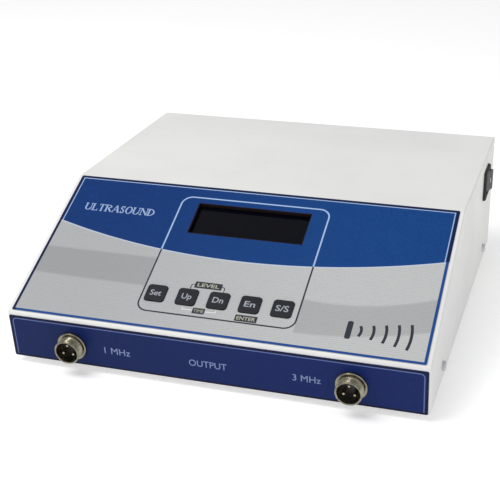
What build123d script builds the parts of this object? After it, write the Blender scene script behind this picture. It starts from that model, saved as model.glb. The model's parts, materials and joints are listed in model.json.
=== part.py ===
"""Ultrasound therapy device: a desk-top console in folded sheet steel with a printed sloping panel.

Units are millimetres. The console stands on the plane Z = 0, its front faces -Y and +X is to the right of
a person who faces the panel. The origin is under the middle of the whole device.
"""

import os
from math import atan2, cos, degrees, hypot, radians, sin

from build123d import *

# Driving dimensions of the housing
WIDTH = 262.0
DEPTH = 266.0
HEIGHT = 83.0
SHEET = 1.2
FOOT_HEIGHT = 5.0
APRON_HEIGHT = 31.9
APRON_LEAN = 3.56
PANEL_ANGLE = 24.76
BEND_RADIUS = 1.5
SIDE_RADIUS = 1.0
FRONT_Y = -129.2
FILM = 0.4
GAP = 0.15

# Console print and keys, measured on the sloping panel from its middle and from the overlay's lower edge
OVERLAY_WIDTH = 256.5
OVERLAY_LENGTH = 120.4
OVERLAY_MARGIN = 1.16
LABEL_WIDTH = 259.8
LABEL_HEIGHT = 29.5
KEY_NAMES = ("set", "up", "down", "enter", "start_stop")
KEY_PITCH = 20.0
KEY_FIRST_X = -41.4
KEY_S = 26.4
KEY_SIDE = 12.8
KEY_CORNER = 2.2
KEY_HOLE = 13.1
KEY_PROUD = 1.3
KEY_EDGE_RADIUS = 0.35
KEY_FLANGE = 15.2
KEY_FLANGE_THICK = 1.2
KEY_PLAY = 0.1
KEY_TRAVEL = 0.5
STEM_RADIUS = 1.7
STEM_LENGTH = 5.0
TACT_SIDE = 6.0
TACT_HEIGHT = 4.3
TACT_TOP = -5.0
STEM_CLEARANCE = 0.08
STEM_END_CLEARANCE = 0.3
KEYPAD_BOARD = (116.0, 22.0)
KEYPAD_PILLAR_REACH = 53.0

# Display stack behind the panel
DISPLAY_X = -0.5
DISPLAY_S = 91.8
DISPLAY_OPENING = (76.0, 27.0)
GASKET_SIZE = (81.0, 31.2)
GASKET_THICK = 1.5
WINDOW_THICK = 2.0
LCD_BEZEL = (71.2, 25.2)
LCD_VIEW = (64.5, 16.0)
LCD_BEZEL_DEPTH = 6.0
LCD_BEZEL_WALL = 0.8
LCD_GLASS_THICK = 2.2
LCD_BOARD = (93.0, 38.0)
LCD_PILLARS = (87.0, 32.0)
PILLAR_RADIUS = 2.2
PANEL_SCREW_RADIUS = 1.25
PANEL_HEAD_RADIUS = 2.2

# Round output sockets on the apron, with the M16 thread of the treatment head's plug
SOCKET_MIDDLE_X = -1.4
SOCKET_X = 87.5
SOCKET_RISE = 13.4
SOCKET_THREAD_RADIUS = 8.0
SOCKET_PROUD = 9.2
SOCKET_FLANGE_RADIUS = 9.5
SOCKET_FLANGE_THICK = 2.0
SOCKET_BORE_RADIUS = 6.9
SOCKET_BACK_RADIUS = 7.5
SOCKET_BACK = 12.0
SOCKET_INSERT_FACE = 2.0
SOCKET_PIN_CIRCLE = 3.8
SOCKET_PIN_RADIUS = 0.9
SOCKET_PIN_TIP = 7.0
SOCKET_PIN_TAIL = 15.0
SOCKET_NUT_FLATS = 20.0
SOCKET_NUT_THICK = 2.4

# Rocker switch on the right side, near the rear
SWITCH_BACK = 220.0
SWITCH_RISE = 63.5
SWITCH_BEZEL = (25.0, 21.0)
SWITCH_BEZEL_PROUD = 2.0
SWITCH_BODY = (21.8, 18.8)
SWITCH_BODY_DEPTH = 26.0
SWITCH_WELL = (19.0, 15.0)
SWITCH_WELL_DEPTH = 8.0
ROCKER_RADIUS = 9.2
ROCKER_WIDTH = 14.4
ROCKER_END_RISE = 2.8
ROCKER_MIDDLE_RISE = 1.0
ROCKER_FLOOR = 5.0
ROCKER_TILT = 11.0
TRUNNION_RADIUS = 1.5
TRUNNION_CLEARANCE = 0.06
TRUNNION_REACH = 8.4

# Mains inlet with a fuse drawer, on the rear panel
INLET_X = 85.0
INLET_RISE = 45.0
INLET_FLANGE = (50.0, 31.0)
INLET_FLANGE_THICK = 2.6
INLET_BODY = (31.0, 28.6)
INLET_BODY_DEPTH = 22.0
INLET_CAVITY = (24.5, 16.8)
INLET_CAVITY_DEPTH = 16.0
INLET_CAVITY_CHAMFER = 4.5
INLET_CAVITY_RISE = 4.5
INLET_PIN_SPACING = 7.0
INLET_PIN_SECTION = (2.0, 4.0)
INLET_PIN_LENGTH = 14.0
INLET_TAB = 7.0
INLET_SCREW_SPACING = 40.0
DRAWER_SIZE = (23.6, 6.4)
DRAWER_SLOT = (24.0, 6.8)
DRAWER_DROP = 9.0
DRAWER_DEPTH = 17.0
DRAWER_GRIP = 1.4
FUSE_RADIUS = 2.6
FUSE_LENGTH = 20.0
FUSE_CAP = 5.5

# Fasteners and feet
SCREW_RADIUS = 1.5
SCREW_HOLE = 1.55
HEAD_RADIUS = 3.0
HEAD_HEIGHT = 2.1
SCREW_LENGTH = 6.0
HEAD_ROUNDING = 0.45
CROSS_LENGTH = 1.2
CROSS_WIDTH = 0.3
CROSS_DEPTH = 0.45
SIDE_SCREW_BACKS = (42.0, 228.0)
SIDE_SCREW_RISE = 9.5
FOOT_RADIUS = 9.0
FOOT_TIP_RADIUS = 8.0
FOOT_SOCKET_RADIUS = 3.6
FOOT_SOCKET_DEPTH = 2.6
FOOT_X = 107.0
FOOT_BACKS = (26.0, 240.0)

# Tray and rear panel
TRAY_FLANGE = 14.0
TRAY_REAR_LIP = 12.0
TRAY_FRONT_LIP = (120.0, 10.0)
REAR_INSET = 0.8
REAR_LIP = (220.0, 10.0)
REAR_SCREW_XS = (-112.0, 0.0, 112.0)
REAR_SCREW_RISES = (7.0, 76.5)
TOP_SCREW_XS = (-100.0, 0.0, 100.0)
VENT_COUNT = 12
VENT_PITCH = 7.0
VENT_SIZE = (3.0, 30.0)
VENT_X = -62.0
VENT_RISE = 42.0

# Electronics on the tray
BOARD_SIZE = (130.0, 110.0)
BOARD_THICK = 1.6
BOARD_X = 50.0
BOARD_BACK = 130.0
BOARD_STANDOFF = 8.0
BOARD_HOLE_INSET = 5.0
CORE_SIZE = (66.0, 28.0, 55.0)
CORE_LEG = 11.0
CORE_X = -75.0
CORE_BACK = 200.0
WINDING_BULGE = 10.0
TRANSFORMER_FOOT = 38.0

BOTTOM = FOOT_HEIGHT
TOP = FOOT_HEIGHT + HEIGHT
FLOOR = BOTTOM + SHEET
REAR_Y = FRONT_Y + DEPTH
HALF = WIDTH / 2
LEAN = degrees(atan2(APRON_LEAN, APRON_HEIGHT))
APRON_LENGTH = hypot(APRON_LEAN, APRON_HEIGHT)

APRON_UP = Vector(0, -sin(radians(LEAN)), cos(radians(LEAN)))
APRON_OUT = Vector(0, -cos(radians(LEAN)), -sin(radians(LEAN)))
PANEL_UP = Vector(0, cos(radians(PANEL_ANGLE)), sin(radians(PANEL_ANGLE)))
PANEL_OUT = Vector(0, -sin(radians(PANEL_ANGLE)), cos(radians(PANEL_ANGLE)))

APRON_FOOT = Vector(0, FRONT_Y, BOTTOM)
BEND = APRON_FOOT + APRON_UP * APRON_LENGTH
PANEL_LENGTH = (TOP - BEND.Z) / sin(radians(PANEL_ANGLE))
CREST = BEND + PANEL_UP * PANEL_LENGTH

APRON = Plane(origin=APRON_FOOT, x_dir=(1, 0, 0), z_dir=APRON_OUT)
PANEL = Plane(origin=BEND + PANEL_UP * OVERLAY_MARGIN, x_dir=(1, 0, 0), z_dir=PANEL_OUT)
RIGHT_SIDE = Plane(origin=(HALF, 0, 0), x_dir=(0, 1, 0), z_dir=(1, 0, 0))
LEFT_SIDE = Plane(origin=(-HALF, 0, 0), x_dir=(0, -1, 0), z_dir=(-1, 0, 0))
REAR = Plane(origin=(0, REAR_Y - REAR_INSET, 0), x_dir=(-1, 0, 0), z_dir=(0, 1, 0))
SWITCH = Plane(
    origin=(HALF, FRONT_Y + SWITCH_BACK, BOTTOM + SWITCH_RISE), x_dir=(0, 1, 0), z_dir=(1, 0, 0)
)
INLET = Plane(
    origin=(INLET_X, REAR_Y - REAR_INSET, BOTTOM + INLET_RISE), x_dir=(-1, 0, 0), z_dir=(0, 1, 0)
)


def block(plane, x, y, size, low, high, corner=0.0):
    """A rectangular prism standing on a plane, with rounded corners where asked."""
    outline = RectangleRounded(*size, corner) if corner else Rectangle(*size)
    return extrude(plane * Pos(x, y, low) * outline, amount=high - low)


def rod(plane, x, y, radius, low, high):
    """A round bar standing on a plane."""
    return extrude(plane * Pos(x, y, low) * Circle(radius), amount=high - low)


def tube(plane, x, y, outer, inner, low, high):
    """A round bar with a hole right through it."""
    return rod(plane, x, y, outer, low, high) - rod(plane, x, y, inner, low - 1, high + 1)


def pan_screw(plane, x, y, base=0.0, radius=SCREW_RADIUS, length=SCREW_LENGTH, head=HEAD_RADIUS):
    """A pan-head screw whose head sits on the height base and whose shank goes down into the plane."""
    height = head * HEAD_HEIGHT / HEAD_RADIUS
    crown = base + height
    top = rod(plane, x, y, head, base, crown)
    top = fillet(highest(plane, top.edges()), height * HEAD_ROUNDING)
    screw = top + rod(plane, x, y, radius, base - length, base)
    for arm in ((head * CROSS_LENGTH, head * CROSS_WIDTH), (head * CROSS_WIDTH, head * CROSS_LENGTH)):
        screw -= block(plane, x, y, arm, crown - height * CROSS_DEPTH, crown + 1)
    return screw


def highest(plane, shapes):
    """The face or edge that stands furthest out from a plane."""
    return shapes.sort_by(lambda shape: plane.to_local_coords(shape.center()).Z)[-1]


def group(solids):
    """Several separate solids kept in one node."""
    return Compound([solid for shape in solids for solid in shape.solids()])


def profile(points, left, right):
    """A closed side outline pulled across the width from left to right."""
    outline = [Vector(left, point.Y, point.Z) for point in points]
    face = make_face(Polyline(*outline, close=True))
    return extrude(face, amount=right - left, dir=(1, 0, 0))


def inner_corner(corner, first, second, inset):
    """The corner where two walls meet after both have moved in by the same amount."""
    return corner + (first + second) * (inset / (1 + first.dot(second)))


def key_x(index):
    """The middle of a key across the panel."""
    return KEY_FIRST_X + index * KEY_PITCH


# Housing


def make_top_cover():
    """Folded cover: apron, sloping panel, top and both sides in one sheet, open below and behind."""
    rear_top = Vector(0, REAR_Y, TOP)
    rear_bottom = Vector(0, REAR_Y, BOTTOM)
    outer = profile([APRON_FOOT, BEND, CREST, rear_top, rear_bottom], -HALF, HALF)
    bends = outer.edges().filter_by(Axis.X).sort_by(Axis.Y)
    outer = fillet([bends[0], bends[2]], BEND_RADIUS)
    rims = []
    for end in outer.faces().filter_by(Axis.X):
        for edge in end.edges():
            middle = edge.center()
            if middle.Z > BOTTOM + 1 and middle.Y < REAR_Y - 1:
                rims.append(edge)
    outer = fillet(rims, SIDE_RADIUS)

    past = Vector(0, 10, 0)
    below = Vector(0, 0, -10)
    ceiling = Vector(0, 0, -1)
    inner = profile(
        [
            APRON_FOOT - APRON_OUT * SHEET - APRON_UP * 10,
            inner_corner(BEND, -APRON_OUT, -PANEL_OUT, SHEET),
            inner_corner(CREST, -PANEL_OUT, ceiling, SHEET),
            rear_top + ceiling * SHEET + past,
            rear_bottom + below + past,
        ],
        SHEET - HALF,
        HALF - SHEET,
    )
    cover = outer - inner

    lip_y = REAR_Y - REAR_INSET - SHEET - SHEET / 2
    lip_z = TOP - SHEET - REAR_LIP[1] / 2
    cover += Pos(0, lip_y, lip_z) * Box(REAR_LIP[0], SHEET, REAR_LIP[1] + 0.2)

    for index in range(len(KEY_NAMES)):
        cover -= block(PANEL, key_x(index), KEY_S, (KEY_HOLE, KEY_HOLE), -SHEET - 1, 1, KEY_CORNER)
    cover -= block(PANEL, DISPLAY_X, DISPLAY_S, DISPLAY_OPENING, -SHEET - 1, 1)
    for side in (-1, 1):
        cover -= rod(APRON, socket_x(side), SOCKET_RISE, SOCKET_BACK_RADIUS + GAP, -SHEET - 1, 1)
    switch_hole = (SWITCH_BODY[0] + 2 * GAP, SWITCH_BODY[1] + 2 * GAP)
    cover -= block(SWITCH, 0, 0, switch_hole, -SHEET - 1, 1)
    for plane, x, y in side_screw_places():
        cover -= rod(plane, x, y, SCREW_HOLE, -SHEET - 1, 1)
    for x in TOP_SCREW_XS:
        cover -= rod(REAR, x, BOTTOM + REAR_SCREW_RISES[1], SCREW_HOLE, -2 * SHEET - 1, 1)
    return cover


def side_screw_places():
    """Where the cover's side screws go: the plane, and the place on it."""
    for plane, sense in ((RIGHT_SIDE, 1), (LEFT_SIDE, -1)):
        for back in SIDE_SCREW_BACKS:
            yield plane, sense * (FRONT_Y + back), BOTTOM + SIDE_SCREW_RISE


def foot_places():
    """The name and the middle of each foot."""
    for row, back in zip(("front", "rear"), FOOT_BACKS):
        for side, sense in (("left", -1), ("right", 1)):
            yield f"foot_{row}_{side}", sense * FOOT_X, FRONT_Y + back


def make_base_tray():
    """Folded tray: a floor with upturned sides and lips that the cover and rear panel screw to."""
    half = HALF - SHEET - GAP
    front = FRONT_Y + SHEET + 0.5
    back = REAR_Y - REAR_INSET - SHEET
    length = back - front
    middle = (front + back) / 2
    tray = Pos(0, middle, BOTTOM + SHEET / 2) * Box(2 * half, length, SHEET)
    flange_rise = BOTTOM + TRAY_FLANGE / 2
    for side in (-1, 1):
        x = side * (half - SHEET / 2)
        tray += Pos(x, middle + 4, flange_rise) * Box(SHEET, length - 24, TRAY_FLANGE)
    lip_rise = BOTTOM + TRAY_REAR_LIP / 2
    tray += Pos(0, back - SHEET / 2, lip_rise) * Box(2 * half - 12, SHEET, TRAY_REAR_LIP)
    front_rise = BOTTOM + TRAY_FRONT_LIP[1] / 2
    tray += Pos(0, front + SHEET, front_rise) * Box(TRAY_FRONT_LIP[0], SHEET, TRAY_FRONT_LIP[1])
    for plane, x, y in side_screw_places():
        tray -= rod(plane, x, y, SCREW_HOLE, -2 * SHEET - 2, 1)
    for x in REAR_SCREW_XS:
        tray -= rod(REAR, x, BOTTOM + REAR_SCREW_RISES[0], SCREW_HOLE, -2 * SHEET - 1, 1)
    for _, x, y in foot_places():
        tray -= rod(Plane.XY, x, y, SCREW_HOLE, BOTTOM - 1, FLOOR + 1)
    for x, y in board_holes():
        tray -= rod(Plane.XY, x, y, SCREW_HOLE, BOTTOM - 1, FLOOR + 1)
    for side in (-1, 1):
        tray -= rod(Plane.XY, CORE_X + side * TRANSFORMER_FOOT, FRONT_Y + CORE_BACK, SCREW_HOLE,
                    BOTTOM - 1, FLOOR + 1)
    return tray


def make_rear_panel():
    """Flat rear panel with the inlet's cut-out, the vent slots and the screw holes."""
    half = HALF - SHEET - GAP
    low = BOTTOM + GAP
    high = TOP - SHEET - GAP
    panel = block(REAR, 0, (low + high) / 2, (2 * half, high - low), -SHEET, 0, 1.0)
    cut = (INLET_BODY[0] + 2 * GAP, INLET_BODY[1] + 2 * GAP)
    panel -= block(INLET, 0, 0, cut, -SHEET - 1, 1)
    for side in (-1, 1):
        panel -= rod(INLET, side * INLET_SCREW_SPACING / 2, 0, SCREW_HOLE, -SHEET - 1, 1)
    for index in range(VENT_COUNT):
        x = -(VENT_X + (index - (VENT_COUNT - 1) / 2) * VENT_PITCH)
        slot = SlotOverall(VENT_SIZE[1], VENT_SIZE[0], rotation=90)
        panel -= extrude(REAR * Pos(x, BOTTOM + VENT_RISE, -SHEET - 1) * slot, amount=SHEET + 2)
    for x, y in rear_screw_places():
        panel -= rod(REAR, x, y, SCREW_HOLE, -SHEET - 1, 1)
    return panel


def rear_screw_places():
    """Where the rear panel's screws go, three along the bottom and three along the top."""
    for xs, rise in zip((REAR_SCREW_XS, TOP_SCREW_XS), REAR_SCREW_RISES):
        for x in xs:
            yield x, BOTTOM + rise


def make_cover_screws():
    """Four pan-head screws through the cover's sides into the tray."""
    return group([pan_screw(plane, x, y) for plane, x, y in side_screw_places()])


def make_rear_panel_screws():
    """Six pan-head screws through the rear panel into the tray's and the cover's lips."""
    return group([pan_screw(REAR, x, y) for x, y in rear_screw_places()])


def make_foot(x, y):
    """Rubber foot: a low cone with a recess for its screw."""
    foot = Pos(x, y, FOOT_HEIGHT / 2) * Cone(FOOT_TIP_RADIUS, FOOT_RADIUS, FOOT_HEIGHT)
    foot -= rod(Plane.XY, x, y, FOOT_SOCKET_RADIUS, -1, FOOT_SOCKET_DEPTH)
    return foot - rod(Plane.XY, x, y, SCREW_HOLE, 0, FOOT_HEIGHT + 1)


def make_foot_screws():
    """Four screws that hold the feet to the tray, heads down in the recesses."""
    screws = []
    for _, x, y in foot_places():
        under = Plane(origin=(x, y, FOOT_SOCKET_DEPTH), x_dir=(1, 0, 0), z_dir=(0, 0, -1))
        screws.append(pan_screw(under, 0, 0, length=SCREW_LENGTH + 1))
    return group(screws)


# Printed films


def make_console_overlay():
    """Printed film on the sloping panel, cut out for the keys and the display."""
    middle = OVERLAY_LENGTH / 2
    film = block(PANEL, 0, middle, (OVERLAY_WIDTH, OVERLAY_LENGTH), 0, FILM, 1.0)
    for index in range(len(KEY_NAMES)):
        film -= block(PANEL, key_x(index), KEY_S, (KEY_HOLE, KEY_HOLE), -1, 1, KEY_CORNER)
    return film - block(PANEL, DISPLAY_X, DISPLAY_S, DISPLAY_OPENING, -1, 1)


def make_apron_label():
    """Printed film on the apron, cut out for the two sockets."""
    label = block(APRON, 0, LABEL_HEIGHT / 2, (LABEL_WIDTH, LABEL_HEIGHT), 0, FILM, 1.0)
    for side in (-1, 1):
        label -= rod(APRON, socket_x(side), SOCKET_RISE, SOCKET_BACK_RADIUS + GAP, -1, 1)
    return label


# Display


GASKET_BACK = -SHEET - GASKET_THICK
WINDOW_BACK = GASKET_BACK - WINDOW_THICK
BEZEL_FRONT = WINDOW_BACK - 0.2
BEZEL_BACK = BEZEL_FRONT - LCD_BEZEL_DEPTH
LCD_BOARD_BACK = BEZEL_BACK - BOARD_THICK


def display_block(size, low, high, corner=0.0):
    """A prism centred on the display."""
    return block(PANEL, DISPLAY_X, DISPLAY_S, size, low, high, corner)


def make_display_gasket():
    """Dark foam frame between the panel and the window."""
    frame = display_block(GASKET_SIZE, GASKET_BACK, -SHEET)
    return frame - display_block(DISPLAY_OPENING, GASKET_BACK - 1, 0)


def make_display_window():
    """Smoked acrylic sheet behind the panel's opening."""
    return display_block(GASKET_SIZE, WINDOW_BACK, GASKET_BACK, 1.0)


def make_lcd_bezel():
    """Black steel frame of the display module, open behind."""
    wall = 2 * LCD_BEZEL_WALL
    bezel = display_block(LCD_BEZEL, BEZEL_BACK, BEZEL_FRONT, 1.0)
    inside = (LCD_BEZEL[0] - wall, LCD_BEZEL[1] - wall)
    bezel -= display_block(inside, BEZEL_BACK - 1, BEZEL_FRONT - LCD_BEZEL_WALL)
    return bezel - display_block(LCD_VIEW, BEZEL_BACK, BEZEL_FRONT + 1)


def make_lcd_glass():
    """Glass cell of the display, behind the bezel's face."""
    wall = 2 * LCD_BEZEL_WALL + 2 * GAP
    front = BEZEL_FRONT - LCD_BEZEL_WALL - 0.05
    size = (LCD_BEZEL[0] - wall, LCD_BEZEL[1] - wall)
    return display_block(size, front - LCD_GLASS_THICK, front)


def make_lcd_backlight():
    """White light guide that fills the bezel behind the glass."""
    wall = 2 * LCD_BEZEL_WALL + 2 * GAP
    front = BEZEL_FRONT - LCD_BEZEL_WALL - 0.1 - LCD_GLASS_THICK
    size = (LCD_BEZEL[0] - wall, LCD_BEZEL[1] - wall)
    return display_block(size, BEZEL_BACK, front)


def lcd_pillar_places():
    """The corners of the display board that its pillars stand at."""
    for side in (-1, 1):
        for end in (-1, 1):
            yield DISPLAY_X + side * LCD_PILLARS[0] / 2, DISPLAY_S + end * LCD_PILLARS[1] / 2


def make_lcd_board():
    """Circuit board of the display module."""
    board = display_block(LCD_BOARD, LCD_BOARD_BACK, BEZEL_BACK, 1.0)
    for x, s in lcd_pillar_places():
        board -= rod(PANEL, x, s, PANEL_SCREW_RADIUS + 0.2, LCD_BOARD_BACK - 1, BEZEL_BACK + 1)
    return board


# Keys


KEY_MIDDLE_X = key_x((len(KEY_NAMES) - 1) / 2)
KEYPAD_FACE = TACT_TOP - TACT_HEIGHT
KEYPAD_BACK = KEYPAD_FACE - BOARD_THICK
FLANGE_TOP = -SHEET - KEY_PLAY
FLANGE_BOTTOM = FLANGE_TOP - KEY_FLANGE_THICK
STEM_END = FLANGE_BOTTOM - STEM_LENGTH
TACT_WELL_FLOOR = STEM_END - KEY_TRAVEL - STEM_END_CLEARANCE


def make_key(index):
    """Moulded key: a rounded square cap, a flange that stops it under the panel and a round stem."""
    x = key_x(index)
    cap = block(PANEL, x, KEY_S, (KEY_SIDE, KEY_SIDE), FLANGE_TOP, KEY_PROUD, KEY_CORNER)
    cap = fillet(highest(PANEL, cap.faces()).edges(), KEY_EDGE_RADIUS)
    flange = block(PANEL, x, KEY_S, (KEY_FLANGE, KEY_FLANGE), FLANGE_BOTTOM, FLANGE_TOP, KEY_CORNER)
    stem = rod(PANEL, x, KEY_S, STEM_RADIUS, STEM_END, FLANGE_BOTTOM)
    return cap + flange + stem


def make_tact_switches():
    """Five push switches, each with a well for a key's stem."""
    switches = []
    for index in range(len(KEY_NAMES)):
        x = key_x(index)
        body = block(PANEL, x, KEY_S, (TACT_SIDE, TACT_SIDE), KEYPAD_FACE, TACT_TOP, 0.4)
        well = rod(PANEL, x, KEY_S, STEM_RADIUS + STEM_CLEARANCE, TACT_WELL_FLOOR, TACT_TOP + 1)
        switches.append(body - well)
    return group(switches)


def keypad_pillar_places():
    """The two ends of the key board that its pillars stand at."""
    for side in (-1, 1):
        yield KEY_MIDDLE_X + side * KEYPAD_PILLAR_REACH, KEY_S


def make_keypad_board():
    """Circuit board that carries the push switches."""
    board = block(PANEL, KEY_MIDDLE_X, KEY_S, KEYPAD_BOARD, KEYPAD_BACK, KEYPAD_FACE, 1.0)
    for x, s in keypad_pillar_places():
        board -= rod(PANEL, x, s, PANEL_SCREW_RADIUS + 0.2, KEYPAD_BACK - 1, KEYPAD_FACE + 1)
    return board


def make_panel_pillars():
    """Pillars pressed to the back of the panel for the display board and the key board."""
    hole = PANEL_SCREW_RADIUS + 0.05
    pillars = [tube(PANEL, x, s, PILLAR_RADIUS, hole, BEZEL_BACK, -SHEET) for x, s in lcd_pillar_places()]
    for x, s in keypad_pillar_places():
        pillars.append(tube(PANEL, x, s, PILLAR_RADIUS, hole, KEYPAD_FACE, -SHEET))
    return group(pillars)


def make_panel_screws():
    """Six screws that hold the display board and the key board to their pillars."""
    screws = []
    places = [(place, LCD_BOARD_BACK) for place in lcd_pillar_places()]
    places += [(place, KEYPAD_BACK) for place in keypad_pillar_places()]
    for (x, s), back in places:
        origin = PANEL.from_local_coords(Vector(x, s, back))
        behind = Plane(origin=origin, x_dir=(1, 0, 0), z_dir=-PANEL_OUT)
        screws.append(pan_screw(behind, 0, 0, radius=PANEL_SCREW_RADIUS, head=PANEL_HEAD_RADIUS))
    return group(screws)


# Output sockets


def socket_x(side):
    """Middle of the socket on the left (side -1) or on the right (side 1)."""
    return SOCKET_MIDDLE_X + side * SOCKET_X


def socket_pin_places(x):
    """The three pins of one socket, one above and two below."""
    for turn in (90, 210, 330):
        across = SOCKET_PIN_CIRCLE * cos(radians(turn))
        rise = SOCKET_PIN_CIRCLE * sin(radians(turn))
        yield x + across, SOCKET_RISE + rise


def make_socket_shell(x):
    """Plated shell: threaded barrel in front, a flange on the film and a threaded tail behind."""
    y = SOCKET_RISE
    shell = rod(APRON, x, y, SOCKET_THREAD_RADIUS, FILM, SOCKET_PROUD)
    shell += rod(APRON, x, y, SOCKET_FLANGE_RADIUS, FILM, FILM + SOCKET_FLANGE_THICK)
    shell += rod(APRON, x, y, SOCKET_BACK_RADIUS, -SOCKET_BACK, FILM)
    return shell - rod(APRON, x, y, SOCKET_BORE_RADIUS, -SOCKET_BACK - 1, SOCKET_PROUD + 1)


def make_socket_insert(x):
    """Dark moulded disc that fills the shell and holds the pins."""
    insert = rod(APRON, x, SOCKET_RISE, SOCKET_BORE_RADIUS, -SOCKET_BACK, SOCKET_INSERT_FACE)
    for px, py in socket_pin_places(x):
        insert -= rod(APRON, px, py, SOCKET_PIN_RADIUS, -SOCKET_BACK - 1, SOCKET_INSERT_FACE + 1)
    return insert


def make_socket_pins(x):
    """Three contact pins with solder tails."""
    pins = []
    for px, py in socket_pin_places(x):
        pin = rod(APRON, px, py, SOCKET_PIN_RADIUS, -SOCKET_PIN_TAIL, SOCKET_PIN_TIP)
        pins.append(fillet(highest(APRON, pin.edges()), SOCKET_PIN_RADIUS * 0.6))
    return group(pins)


def make_socket_nut(x):
    """Hexagon nut that clamps the shell to the apron from inside."""
    corner_radius = SOCKET_NUT_FLATS / 2 / cos(radians(30))
    hexagon = RegularPolygon(corner_radius, 6, rotation=0)
    back = -SHEET - SOCKET_NUT_THICK
    nut = extrude(APRON * Pos(x, SOCKET_RISE, back) * hexagon, amount=SOCKET_NUT_THICK)
    return nut - rod(APRON, x, SOCKET_RISE, SOCKET_BACK_RADIUS + 0.02, back - 1, 1)


# Mains switch


def make_switch_body():
    """Switch body with its bezel, the rocker's well and the trunnion holes."""
    body = block(SWITCH, 0, 0, SWITCH_BODY, -SWITCH_BODY_DEPTH, 0)
    bezel = block(SWITCH, 0, 0, SWITCH_BEZEL, 0, SWITCH_BEZEL_PROUD, 2.0)
    rim = bezel.faces().filter_by(Axis.X).sort_by(Axis.X)[-1].edges()
    body += chamfer(rim, 0.7)
    body -= block(SWITCH, 0, 0, SWITCH_WELL, -SWITCH_WELL_DEPTH, SWITCH_BEZEL_PROUD + 1)
    hole = TRUNNION_RADIUS + TRUNNION_CLEARANCE
    length = 2 * TRUNNION_REACH + 0.4
    body -= Pos(SWITCH.origin) * Cylinder(hole, length)
    for x, y in switch_terminal_places():
        body -= block(SWITCH, x, y, (0.8, 6.3), -SWITCH_BODY_DEPTH - 1, -SWITCH_BODY_DEPTH + 5)
    return body


def make_switch_rocker():
    """Rocker: two flats that meet in a shallow valley, ends round the pivot, two trunnions."""
    across = Plane(origin=SWITCH.origin, x_dir=(0, 1, 0), z_dir=(0, 0, -1))
    end = ROCKER_RADIUS + 1
    valley = Polyline(
        (-end, -ROCKER_FLOOR),
        (-end, ROCKER_END_RISE),
        (0, ROCKER_MIDDLE_RISE),
        (end, ROCKER_END_RISE),
        (end, -ROCKER_FLOOR),
        close=True,
    )
    section = make_face(valley) & Circle(ROCKER_RADIUS)
    rocker = extrude(across * Pos(0, 0, -ROCKER_WIDTH / 2) * section, amount=ROCKER_WIDTH)
    rocker += Pos(SWITCH.origin) * Cylinder(TRUNNION_RADIUS, 2 * TRUNNION_REACH)
    return rocker.rotate(Axis(SWITCH.origin, (0, 0, 1)), -ROCKER_TILT)


def switch_terminal_places():
    """The four blades behind the switch."""
    for along in (-6.5, 6.5):
        for rise in (-4.9, 4.9):
            yield along, rise


def make_switch_terminals():
    """Four brass blades behind the switch."""
    back = -SWITCH_BODY_DEPTH
    return group([block(SWITCH, x, y, (0.8, 6.3), back - 9, back + 5) for x, y in switch_terminal_places()])


# Mains inlet


def inlet_pin_places():
    """Line, earth and neutral pins of the inlet."""
    yield -INLET_PIN_SPACING, INLET_CAVITY_RISE - 1
    yield 0, INLET_CAVITY_RISE + 3
    yield INLET_PIN_SPACING, INLET_CAVITY_RISE - 1


def make_inlet_body():
    """Inlet moulding: flange, plug cavity with two cut corners and the fuse drawer's slot."""
    body = block(INLET, 0, 0, INLET_BODY, -INLET_BODY_DEPTH, 0)
    flange = block(INLET, 0, 0, INLET_FLANGE, 0, INLET_FLANGE_THICK, 4.0)
    body += flange
    outline = chamfer(Rectangle(*INLET_CAVITY).vertices().group_by(Axis.Y)[-1], INLET_CAVITY_CHAMFER)
    floor = INLET_FLANGE_THICK - INLET_CAVITY_DEPTH
    depth = INLET_CAVITY_DEPTH + 1
    body -= extrude(INLET * Pos(0, INLET_CAVITY_RISE, floor) * outline, amount=depth)
    slot_floor = INLET_FLANGE_THICK - DRAWER_DEPTH - 1
    body -= block(INLET, 0, -DRAWER_DROP, DRAWER_SLOT, slot_floor, INLET_FLANGE_THICK + 1)
    for x, y in inlet_pin_places():
        body -= block(INLET, x, y, INLET_PIN_SECTION, -INLET_BODY_DEPTH - 1, floor + 1)
    for side in (-1, 1):
        x = side * INLET_SCREW_SPACING / 2
        body -= rod(INLET, x, 0, SCREW_HOLE, -1, INLET_FLANGE_THICK + 1)
    return body


def make_inlet_pins():
    """Three flat contact pins with tabs behind."""
    floor = INLET_FLANGE_THICK - INLET_CAVITY_DEPTH
    back = -INLET_BODY_DEPTH - INLET_TAB
    tip = floor + INLET_PIN_LENGTH
    return group([block(INLET, x, y, INLET_PIN_SECTION, back, tip) for x, y in inlet_pin_places()])


def make_inlet_screws():
    """Two screws that hold the inlet's flange to the rear panel."""
    screws = []
    for side in (-1, 1):
        x = side * INLET_SCREW_SPACING / 2
        screws.append(pan_screw(INLET, x, 0, INLET_FLANGE_THICK, length=SCREW_LENGTH + 2))
    return group(screws)


DRAWER_BACK = INLET_FLANGE_THICK - DRAWER_DEPTH
FUSE_MIDDLE = DRAWER_BACK + 2 + FUSE_RADIUS


def make_fuse_drawer():
    """Drawer with a trough for the fuse and a ridged grip in front."""
    drawer = block(INLET, 0, -DRAWER_DROP, DRAWER_SIZE, DRAWER_BACK, INLET_FLANGE_THICK)
    trough = (FUSE_LENGTH + 0.6, DRAWER_SIZE[1])
    drawer -= block(
        INLET, 0, 0.8 - DRAWER_DROP, trough, FUSE_MIDDLE - FUSE_RADIUS - 0.1, FUSE_MIDDLE + FUSE_RADIUS + 0.1
    )
    grip = (DRAWER_SIZE[0] - 6, 1.6)
    front = INLET_FLANGE_THICK
    return drawer + block(INLET, 0, -DRAWER_DROP, grip, front, front + DRAWER_GRIP, 0.6)


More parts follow.
